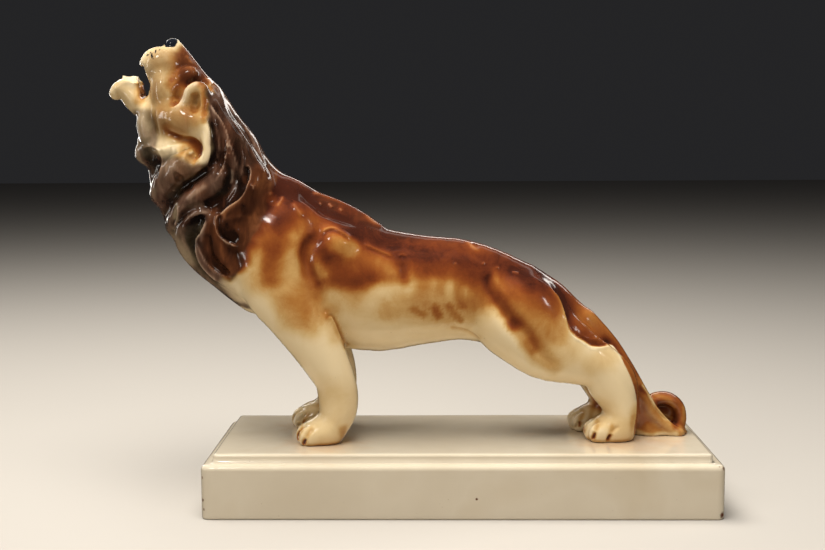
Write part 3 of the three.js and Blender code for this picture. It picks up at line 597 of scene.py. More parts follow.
FOLDS = (
    Fold("ear front", (-1.5, 3), (0.8, 3), (
        (-186.5, 259.4), (-181.5, 260.8), (-179, 264), (-177.4, 267.2), (-175.8, 271), (-173, 273.6),
        (-170, 275.3), (-166.8, 275.9), (-164.4, 275.2))),
    Fold("ear hook", (0.7, 0.9), (0.7, 0.9), ((-167, 279), (-164.4, 277.8), (-162.4, 275.6), (-162.6, 272.4)),
         0.3, 2),
    Fold("ear back", (-0.9, 1.4), (-0.9, 1.4), ((-162.4, 272), (-162, 262), (-162.4, 251))),
    Fold("ear fold high", (-0.7, 2.2), (-0.7, 2.2), ((-169.8, 269.4), (-169, 264.4)), 1, 2),
    Fold("ear fold low", (-0.7, 2.2), (-0.7, 2.2), ((-170.6, 260.6), (-169.6, 255)), 1, 2),
    Fold("bridge ridge", (0.4, 0.8), (0.4, 0.8), ((-178.8, 294), (-176, 290.2), (-173.4, 286.4)), 0.3, 3),
    Fold("notch lobe", (0.8, 1.4), (0.8, 1.4), ((-185, 264), (-182.6, 263.6)), 0.6, 1.5),
    Fold("cheek line", (0.5, 1.4), (-0.8, 1.6), ((-195.8, 259), (-195, 252), (-194.2, 245), (-193.4, 240))),
    Fold("jaw line", (-0.5, 1.6), (0.4, 1.6), ((-205.4, 257), (-203.4, 250), (-203, 243)), 0.6),
    Fold("crescent", (0.6, 3), (-1.7, 3.4), (
        (-190, 246), (-184, 243.6), (-178, 241.2), (-172, 240.6), (-168, 238.6), (-165.2, 234.8),
        (-164.6, 231), (-166.6, 227.6), (-171, 226)), 0.6),
    Fold("ruff edge", (0.5, 1.6), (0.5, 2.4), ((-192, 231.2), (-186, 232.4), (-180, 234), (-175.4, 235.8))),
    Fold("pit bubble", (0.6, 0.8), (0.6, 0.8), ((-173.8, 229.4), (-170.6, 231.6)), 0.3, 1.2),
    Fold("pit bubble low", (0.6, 0.8), (0.6, 0.8), ((-170.6, 227.4), (-168, 230)), 0.3, 1.2),
    Fold("pit bubble high", (0.5, 0.7), (0.5, 0.7), ((-176, 233), (-173.4, 233.6)), 0.3, 1.2),
    Fold("throat rim", (0.6, 0.8), (-0.7, 1.6), (
        (-206.4, 233.2), (-201, 234.4), (-196, 233), (-193.2, 229), (-192.6, 224), (-193.6, 218),
        (-195.4, 213)), 0.35),
    Fold("hook edge", (-1.5, 2.6), (0.6, 2.4), (
        (-160.4, 251), (-158.8, 243), (-158.4, 235), (-159, 228), (-161.4, 221.6)), 0.5),
    Fold("beard edge", (0.5, 3), (-1.2, 3.4), (
        (-187, 200.4), (-183.6, 206), (-177.4, 211.4), (-169, 216.6), (-162, 221.8)), 1.2),
    Fold("beard curl", (0.4, 0.9), (-0.4, 1.2), ((-187.6, 207), (-184, 205.4), (-180.4, 202.6)), 0.4, 2),
    Fold("front lock crest", (0.5, 2.4), (0.7, 2.6), (
        (-178, 199.4), (-171, 204.4), (-165, 208.4), (-159.4, 211.6)), 1.0),
    Fold("front lock foot", (-1.3, 3), (0.5, 3), (
        (-160.4, 192), (-167, 190.6), (-173, 188.6), (-177.8, 184)), 0.8),
    Fold("front lock tip", (0.8, 1.3), (-0.9, 1.8), (
        (-182.6, 198), (-182.4, 193), (-183.8, 188), (-186.2, 183)), 0.35, 3),
    Fold("breast edge", (0.9, 1.5), (-1.7, 2.8), (
        (-163.4, 189.4), (-165, 184.2), (-167.4, 179.4), (-170, 176.2), (-171.2, 173), (-171, 168.6),
        (-169.6, 162.6), (-167, 156.6), (-163.2, 151.8), (-157, 145.6)), 0.4),
    Fold("breast band", (-1.2, 2.6), (0.6, 1.4), (
        (-168.6, 174.4), (-166.2, 167.2), (-162.6, 160.6), (-157.6, 155.2), (-150, 150.6)), 0.5),
    Fold("breast fold", (0.5, 2), (-0.7, 2.4), ((-181, 180), (-179.4, 172), (-174.6, 163.6), (-168, 155)), 0.8),
    Fold("collar rim", (0.9, 1.2), (-1.8, 3.2), (
        (-138.6, 220.6), (-136, 221.6), (-134.6, 218.6), (-135, 214), (-136.2, 210.4), (-138.2, 205.2),
        (-141.8, 201), (-147.8, 197), (-152, 193.4), (-155.4, 189.8)), 0.35, 3),
    Fold("collar ring", (-1.5, 3), (0.9, 1.2), (
        (-152.6, 192.2), (-155.4, 189.4), (-156, 185.6), (-155.2, 180.2), (-152.6, 176.2), (-148, 173.4),
        (-142.8, 171.4)), 0.35, 3),
    Fold("collar fold", (0.3, 2.6), (-0.7, 3), ((-153.4, 186.4), (-147, 187.6), (-141, 188.6), (-133, 187.6)), 1.5),
    Fold("crest strand", (0.6, 1.6), (-0.9, 2.2), (
        (-160, 274.6), (-157, 270), (-153.6, 265), (-150.6, 259.6), (-147.4, 254), (-143.4, 247.6),
        (-138.6, 241))),
    Fold("nape strand", (-0.8, 1.5), (0.8, 1.5), (
        (-160, 263), (-157.4, 258), (-153.6, 253), (-150, 247), (-147.4, 240), (-145.2, 232.6),
        (-142.8, 226), (-141.4, 219.4))),
    Fold("back strand", (0.6, 1.4), (-0.9, 1.7), (
        (-147.4, 257), (-143, 250), (-139.4, 244), (-136.4, 238), (-134, 231), (-130.6, 223))),
    Fold("ear strand", (-0.9, 1.7), (0.5, 1.4), (
        (-156.8, 252), (-154.4, 244), (-153.6, 236), (-154.6, 229), (-156.6, 221))),
    Fold("side strand", (0.6, 1.4), (-0.9, 1.7), (
        (-150, 241), (-149.4, 233), (-151, 226.4), (-153.6, 219), (-157.4, 211.6))),
    Fold("low strand", (-0.8, 1.5), (0.5, 1.4), ((-140.2, 239), (-138.2, 230), (-138, 223), (-139.6, 214))),
    Fold("rear strand", (-0.7, 1.4), (0.6, 1.4), ((-133, 237), (-129.6, 229), (-126, 220.6))),
    Fold("valley strand", (0.6, 1.2), (0.6, 1.2), ((-146, 222), (-145.6, 216), (-147.4, 209)), 0.4, 3),
    Fold("glaze bead 1", (0.6, 0.8), (0.6, 0.8), ((-149.8, 236.8), (-147.2, 233.4)), 0.3, 1.4),
    Fold("glaze bead 2", (0.5, 0.7), (0.5, 0.7), ((-148.2, 231), (-146.6, 229.2)), 0.3, 1),
    Fold("glaze bead 3", (0.5, 0.7), (0.5, 0.7), ((-151.2, 229.8), (-149.2, 226.4)), 0.3, 1),
    Fold("glaze bead 4", (0.6, 0.7), (0.6, 0.7), ((-134.4, 209.8), (-132.2, 209.4), (-132.4, 206.4)), 0.3, 1.2),
    Fold("glaze bead 5", (0.6, 1.2), (0.6, 0.9), ((-123.6, 205.6), (-121.4, 202.6)), 0.5, 2),
    Fold("glaze bead 6", (0.6, 1.1), (0.6, 0.9), ((-118.8, 195.6), (-116, 198.6), (-114.6, 203)), 0.5, 2),
    Fold("blade ridge", (0.6, 1.6), (0.6, 1.2), ((-108.8, 199), (-104.8, 193.6), (-101.2, 189)), 0.5, 3),
    Fold("spine rim", (0.7, 1.4), (0.7, 1.0), (
        (-98.6, 203.6), (-92, 203), (-85, 200.6), (-78, 197.8), (-71, 195.2), (-65, 192), (-60.6, 187.4),
        (-56, 183.8), (-48, 181.2), (-38, 179.4), (-24, 177.8), (-8, 176.2), (0, 173.8), (5, 171),
        (8, 167.6), (14, 164.6)), 0.4),
    Fold("withers bead 1", (0.5, 0.8), (0.5, 0.8), ((-93, 197.8), (-90.4, 195.4)), 0.3, 1.4),
    Fold("withers bead 2", (0.5, 0.9), (0.5, 0.9), ((-86.8, 197.2), (-83.6, 193.8)), 0.3, 1.4),
    Fold("withers bead 3", (0.5, 0.8), (0.5, 0.8), ((-79.8, 193.8), (-77, 191.4)), 0.3, 1.4),
    Fold("knob", (0.7, 1.5), (-0.8, 2), (
        (-89.6, 177), (-86.8, 180.4), (-82.4, 181.4), (-78, 179.6), (-73, 176.4), (-70.6, 173))),
    Fold("rib ridge", (0.6, 1.3), (-0.4, 2), ((-63, 171), (-55, 167.4), (-49, 164.8), (-43.4, 162.4)), 0.4, 4),
    Fold("rib end", (0.6, 1.0), (-0.3, 2), ((-40.6, 163), (-37.6, 164), (-34.4, 162.6)), 0.4, 2),
    Fold("rib dent", (-0.7, 2), (-0.7, 2), ((-37.8, 160), (-37, 154), (-36.4, 148)), 1, 3),
    Fold("shoulder crease", (-0.8, 2.6), (-1.0, 3), (
        (-97.6, 179), (-99.6, 170), (-99, 163), (-96.6, 157), (-93.6, 150), (-91.4, 143.6),
        (-90.6, 136), (-88, 130), (-85, 125.4)), 1.2),
    Fold("elbow", (-0.8, 1.2), (0.4, 1.6), (
        (-87, 124.4), (-83.6, 125), (-81.4, 121), (-79.4, 115.6), (-77, 109), (-74.2, 102)), 0.35, 2.5),
    Fold("belly line", (0.2, 1.0), (-0.3, 1), ((-8, 117), (0, 115.8), (6, 113.4), (10, 110.8), (14, 107)), 0.3),
    Fold("flank bead 1", (0.5, 0.7), (0.5, 0.7), ((-4.8, 158), (-2, 158.3)), 0.3, 1.2),
    Fold("flank bead 2", (0.5, 0.7), (0.5, 0.7), ((13.4, 157.2), (16.4, 158.8)), 0.3, 1.2),
    Fold("flank bead 3", (0.5, 0.7), (0.5, 0.7), ((22.6, 155.2), (26, 155)), 0.3, 1.2),
    Fold("flank bead 4", (0.5, 0.7), (0.5, 0.7), ((33, 152.4), (38.4, 151.2)), 0.3, 1.2),
    Fold("haunch rear", (-1.5, 3.4), (0.9, 1.2), (
        (57, 144.6), (60.6, 140.4), (64.4, 135.6), (67, 129), (68.8, 122), (70.6, 115.6),
        (74, 111), (80, 107.6), (84.4, 104.6), (90, 103.9), (96, 104), (100.6, 102.6), (104, 98.4),
        (107, 92)), 0.6, 11),
    Fold("shank rear", (-1.4, 2), (0.5, 1.4), (
        (104, 98.4), (108, 90), (111.6, 82), (114.2, 74), (115.4, 67), (115.2, 58), (114, 50),
        (113.4, 43)), 0.4, 4),
    Fold("rump fold", (0.4, 0.8), (0.4, 0.8), ((70.4, 122), (72.8, 115.8), (78.4, 111.4), (85, 109), (92, 108)),
         0.4, 4),
    Fold("haunch groove", (-0.8, 2.6), (-1.2, 3), (
        (18, 152), (19, 143), (21.6, 137), (26, 130), (31, 124), (38, 117)), 1.0),
    Fold("thigh line", (-0.3, 2), (0.3, 2.4), ((36, 118), (43, 110), (50, 100), (58, 93)), 1.2),
    Fold("hind slot 1", (-1.2, 0.8), (-1.2, 0.8), ((81.6, 49), (80.8, 46.5), (80.6, 42)), 0.3, 1.6, -8),
    Fold("hind slot 2", (-1.9, 1.0), (-1.9, 1.0), ((87.4, 48.6), (86.4, 45), (85.6, 42)), 0.3, 1.6, -8),
    Fold("hind slot 3", (-1.9, 1.1), (-1.9, 1.1), ((98, 47.2), (96.4, 44), (95.4, 41.6)), 0.3, 1.6, -8),
    Fold("hind knuckle 1", (-1.0, 1.4), (-1.0, 1.4), ((87.4, 48), (89.6, 51.6), (93, 54)), 0.6, 2.5, -8),
    Fold("hind knuckle 2", (-1.0, 1.4), (-1.0, 1.4), ((97.6, 47), (100.4, 50.4), (104, 52)), 0.6, 2.5, -8),
    Fold("fore slot 1", (-1.7, 1.0), (-1.7, 1.0), ((-105.4, 49.6), (-106.8, 46.4), (-107.2, 43)), 0.3, 1.6, -9),
    Fold("fore slot 2", (-1.9, 1.1), (-1.9, 1.1), ((-100.6, 46.6), (-102, 43.2), (-102.4, 41.2)), 0.3, 1.6, -9),
    Fold("fore knuckle 1", (-1.0, 1.4), (-1.0, 1.4), ((-105.6, 49), (-103.6, 52.6), (-100, 54.4)), 0.6, 2.5, -9),
    Fold("fore knuckle 2", (-1.0, 1.4), (-1.0, 1.4), ((-101, 46), (-98.8, 50), (-95, 52.6)), 0.6, 2.5, -9),
    Fold("tail rim", (0.5, 0.8), (-0.6, 1.6), (
        (119, 77), (123, 71), (127, 64.6), (131, 58.8), (136, 53.6), (142, 50.6)), 0.35, 4),
)



# colour on the points

class Layer(Enum):
    """What a dab of colour adds to."""

    OCHRE = "ochre"      # the sprayed yellow-brown to red-brown of coat, back and tail
    MANE = "mane"        # the brushed grey-brown of the mane
    SHADE = "shade"      # painted shade, with dark glaze gathered, in the mane's pits and valleys and under its locks
    INK = "ink"          # the blue-black of the nose and the lines round the mouth


@dataclass(frozen=True)
class Dab:
    """A soft stroke of colour along a line seen from the side.

    Each point of the path is (x, z, half width). A negative strength wipes colour off.
    """

    name: str
    layer: Layer
    strength: float
    soft: float
    path: tuple
    least_y: float = -1.0
    most_y: float = 1000.0

    def cover(self, p: np.ndarray) -> np.ndarray:
        """How much of the dab lies on each point, from nought to one.

        Args:
            p: Points in millimetres.

        Returns:
            One value for each point.
        """
        line = np.array(self.path, float)
        flat = p[:, [0, 2]]
        if len(line) == 1:
            gap = np.hypot(*(flat - line[0, :2]).T) - line[0, 2]
        else:
            start, way = line[:-1], np.diff(line, axis=0)
            d = flat[:, None, :] - start[None, :, :2]
            t = np.clip((d * way[:, :2]).sum(2) / (way[:, :2] ** 2).sum(1), 0, 1)
            off = d - t[..., None] * way[:, :2]
            gap = (np.sqrt((off ** 2).sum(2)) - (start[:, 2] + t * way[:, 2])).min(1)
        t = np.clip(1 - gap / self.soft, 0, 1)
        out = t * t * (3 - 2 * t)
        side = np.abs(p[:, 1])
        if self.least_y > 0:
            out *= np.clip((side - self.least_y) / 4 + 0.5, 0, 1)
        if self.most_y < 1000:
            out *= np.clip((self.most_y - side) / 4 + 0.5, 0, 1)
        return out


@dataclass(frozen=True)
class Patch:
    """A soft-edged area of colour inside an outline of (x, z) points seen from the side.

    Its strength goes evenly from high_strength at high_z to low_strength at low_z.
    """

    name: str
    layer: Layer
    high_strength: float
    low_strength: float
    high_z: float
    low_z: float
    soft: float
    outline: tuple

    def cover(self, p: np.ndarray) -> np.ndarray:
        """How much of the patch lies on each point, from nought to one.

        Args:
            p: Points in millimetres.

        Returns:
            One value for each point.
        """
        flat = p[:, [0, 2]]
        corners = np.array(self.outline, float)
        ends = np.roll(corners, -1, axis=0)
        inside = np.zeros(len(p), bool)
        gap = np.full(len(p), np.inf)
        for a, b in zip(corners, ends):
            way, d = b - a, flat - a
            t = np.clip(d @ way / (way @ way), 0, 1)
            gap = np.minimum(gap, np.hypot(*(d - t[:, None] * way).T))
            crosses = (a[1] > flat[:, 1]) != (b[1] > flat[:, 1])
            rise = b[1] - a[1] if b[1] != a[1] else TINY
            inside ^= crosses & (flat[:, 0] < a[0] + way[0] * (flat[:, 1] - a[1]) / rise)
        t = np.clip(np.where(inside, gap, -gap) / self.soft + 0.5, 0, 1)
        height = np.clip((p[:, 2] - self.low_z) / (self.high_z - self.low_z), 0, 1)
        strength = self.low_strength + (self.high_strength - self.low_strength) * height
        return t * t * (3 - 2 * t) * strength


BLEED = ((14.0, 2.4), (5.0, 0.9))   # mm, size and depth of the ragged edges of soft colour
BLEED_SOFT = 2.6                    # mm, colour with a sharper edge than this keeps its outline


def bleed(p: np.ndarray) -> np.ndarray:
    """Points moved a little at random, so that soft colour runs out unevenly.

    Args:
        p: Points in millimetres.

    Returns:
        The moved points.
    """
    out = p.copy()
    for size, depth in BLEED:
        out += depth * np.array([noise.noise_vector(Vector(q)) for q in p / size])
    out[:, 1] = p[:, 1]
    return out


def lay(dabs: Sequence[Dab | Patch], layer: Layer, p: np.ndarray) -> np.ndarray:
    """Lays one layer's dabs on each other in order.

    Args:
        dabs: All the dabs.
        layer: The layer to work out.
        p: Points in millimetres.

    Returns:
        The layer's density at each point, nought to one.
    """
    out = np.zeros(len(p))
    ragged = bleed(p)
    for dab in dabs:
        if dab.layer is not layer:
            continue
        wipes = isinstance(dab, Dab) and dab.strength < 0
        cover = dab.cover(ragged if dab.soft > BLEED_SOFT else p)
        if isinstance(dab, Dab):
            cover *= abs(dab.strength)
        out = out * (1 - cover) if wipes else out + cover * (1 - out)
    return out


# nodes

def srgb(red: int, green: int, blue: int) -> tuple:
    """A screen colour, 0 to 255 a channel, as Blender's linear colour with alpha."""
    def linear(v: int) -> float:
        c = v / 255
        return c / 12.92 if c <= 0.04045 else ((c + 0.055) / 1.055) ** 2.4
    return linear(red), linear(green), linear(blue), 1.0


class Nodes:
    """Short words for the nodes of one material or node group."""

    def __init__(self, tree: bpy.types.NodeTree) -> None:
        """Keeps the tree that nodes go into."""
        self.tree = tree

    def add(self, kind: str, **values: object) -> bpy.types.Node:
        """Adds a node and sets its plain properties."""
        node = self.tree.nodes.new(kind)
        for key, value in values.items():
            setattr(node, key, value)
        return node

    def put(self, node: bpy.types.Node, name: str | int, value: object) -> None:
        """Links a socket or sets a value on one input of a node."""
        if isinstance(value, bpy.types.NodeSocket):
            self.tree.links.new(value, node.inputs[name])
        elif value is not None:
            node.inputs[name].default_value = value

    def where(self) -> bpy.types.NodeSocket:
        """Object coordinates, in metres."""
        return self.add("ShaderNodeTexCoord").outputs["Object"]

    def value(self, name: str) -> bpy.types.NodeSocket:
        """A number stored on the mesh's points."""
        return self.add("ShaderNodeAttribute", attribute_name=name).outputs["Fac"]

    def math(self, what: str, a: object, b: object = None, c: object = None,
             clamp: bool = False) -> bpy.types.NodeSocket:
        """A sum of one to three values."""
        node = self.add("ShaderNodeMath", operation=what, use_clamp=clamp)
        for i, v in enumerate((a, b, c)):
            self.put(node, i, v)
        return node.outputs[0]

    def noise(self, where: bpy.types.NodeSocket, per_metre: float, detail: float = 3.0,
              rough: float = 0.5, warp: float = 0.0) -> bpy.types.NodeSocket:
        """Soft noise around one half."""
        node = self.add("ShaderNodeTexNoise")
        for name, v in (("Vector", where), ("Scale", per_metre), ("Detail", detail),
                        ("Roughness", rough), ("Distortion", warp)):
            self.put(node, name, v)
        return node.outputs["Fac"]

    def scaled(self, where: bpy.types.NodeSocket, scale: tuple,
               turn: tuple = (0, 0, 0)) -> bpy.types.NodeSocket:
        """Coordinates turned and stretched."""
        node = self.add("ShaderNodeMapping")
        for name, v in (("Vector", where), ("Scale", scale), ("Rotation", turn)):
            self.put(node, name, v)
        return node.outputs[0]

    def bubbles(self, where: bpy.types.NodeSocket, per_metre: float) -> bpy.types.NodeSocket:
        """Distance to the nearest of many scattered points, for bubbles and pits."""
        node = self.add("ShaderNodeTexVoronoi", feature="F1")
        self.put(node, "Vector", where)
        self.put(node, "Scale", per_metre)
        return node.outputs["Distance"]

    def reach(self, value: bpy.types.NodeSocket, low: float, high: float, to_low: float = 0.0,
              to_high: float = 1.0) -> bpy.types.NodeSocket:
        """Maps a range smoothly onto another, held at both ends."""
        node = self.add("ShaderNodeMapRange", interpolation_type="SMOOTHSTEP", clamp=True)
        for i, v in enumerate((value, low, high, to_low, to_high)):
            self.put(node, i, v)
        return node.outputs[0]

    def ramp(self, value: bpy.types.NodeSocket, stops: Sequence[tuple]) -> bpy.types.NodeSocket:
        """A colour ramp through stops of (place, colour)."""
        node = self.add("ShaderNodeValToRGB")
        ramp = node.color_ramp
        while len(ramp.elements) < len(stops):
            ramp.elements.new(0.5)
        for element, (place, colour) in zip(ramp.elements, stops):
            element.position = place
            element.color = colour
        self.put(node, "Fac", value)
        return node.outputs["Color"]

    def mix(self, share: object, a: object, b: object, how: str = "MIX") -> bpy.types.NodeSocket:
        """Mixes two colours."""
        node = self.add("ShaderNodeMix", data_type="RGBA", blend_type=how, clamp_result=True)
        self.put(node, 0, share)
        self.put(node, 6, a)
        self.put(node, 7, b)
        return node.outputs[2]

    def group(self, tree: bpy.types.NodeTree, **inputs: object) -> bpy.types.Node:
        """Places a node group with its own values."""
        node = self.add("ShaderNodeGroup")
        node.node_tree = tree
        for name, v in inputs.items():
            self.put(node, name, v)
        return node


def new_group(name: str, inputs: Sequence[tuple], outputs: Sequence[tuple]) -> tuple:
    """Starts a node group.

    Args:
        name: The group's name.
        inputs: (name, socket type, default) for each input.
        outputs: (name, socket type) for each output.

    Returns:
        The group, its Nodes, its input node and its output node.
    """
    tree = bpy.data.node_groups.new(name, "ShaderNodeTree")
    for label, kind, default in inputs:
        socket = tree.interface.new_socket(name=label, in_out="INPUT", socket_type=kind)
        if default is not None:
            socket.default_value = default
    for label, kind in outputs:
        tree.interface.new_socket(name=label, in_out="OUTPUT", socket_type=kind)
    n = Nodes(tree)
    return tree, n, n.add("NodeGroupInput"), n.add("NodeGroupOutput")


@dataclass(frozen=True)
class GlazeSkin:
    """What both glazes share: the wavy skin of the glaze, and small iron specks in it."""

    ripple_per_metre: float = 90.0
    pit_per_metre: float = 900.0
    speck_per_metre: float = 420.0

    def relief(self) -> bpy.types.NodeTree:
        """Builds the group that puts out the skin's height.

        Returns:
            The node group, with the output Height.
        """
        tree, n, into, out = new_group(
            "glaze_relief",
            [("Vector", "NodeSocketVector", None), ("Ripple", "NodeSocketFloat", 1.0),
             ("Pits", "NodeSocketFloat", 1.0)],
            [("Height", "NodeSocketFloat")])
        where = into.outputs["Vector"]
        slow = n.noise(where, self.ripple_per_metre, 2.0, 0.45, 0.6)
        pits = n.reach(n.bubbles(where, self.pit_per_metre), 0.0, 0.16, -1.0, 0.0)
        seldom = n.reach(n.noise(where, 260.0, 1.0), 0.56, 0.66)
        height = n.math("ADD", n.math("MULTIPLY", slow, into.outputs["Ripple"]),
                        n.math("MULTIPLY", n.math("MULTIPLY", pits, seldom), into.outputs["Pits"]))
        n.put(out, "Height", height)
        return tree

    def specks(self) -> bpy.types.NodeTree:
        """Builds the group that puts out a mask of small dark specks.

        Returns:
            The node group, with the output Mask.
        """
        tree, n, into, out = new_group(
            "iron_specks",
            [("Vector", "NodeSocketVector", None), ("Amount", "NodeSocketFloat", 0.5)],
            [("Mask", "NodeSocketFloat")])
        where = into.outputs["Vector"]
        dots = n.reach(n.bubbles(where, self.speck_per_metre), 0.05, 0.17, 1.0, 0.0)
        seldom = n.reach(n.noise(where, 130.0, 2.0), 0.63, 0.68)
        n.put(out, "Mask", n.math("MULTIPLY", n.math("MULTIPLY", dots, seldom),
                                  into.outputs["Amount"]))
        return tree


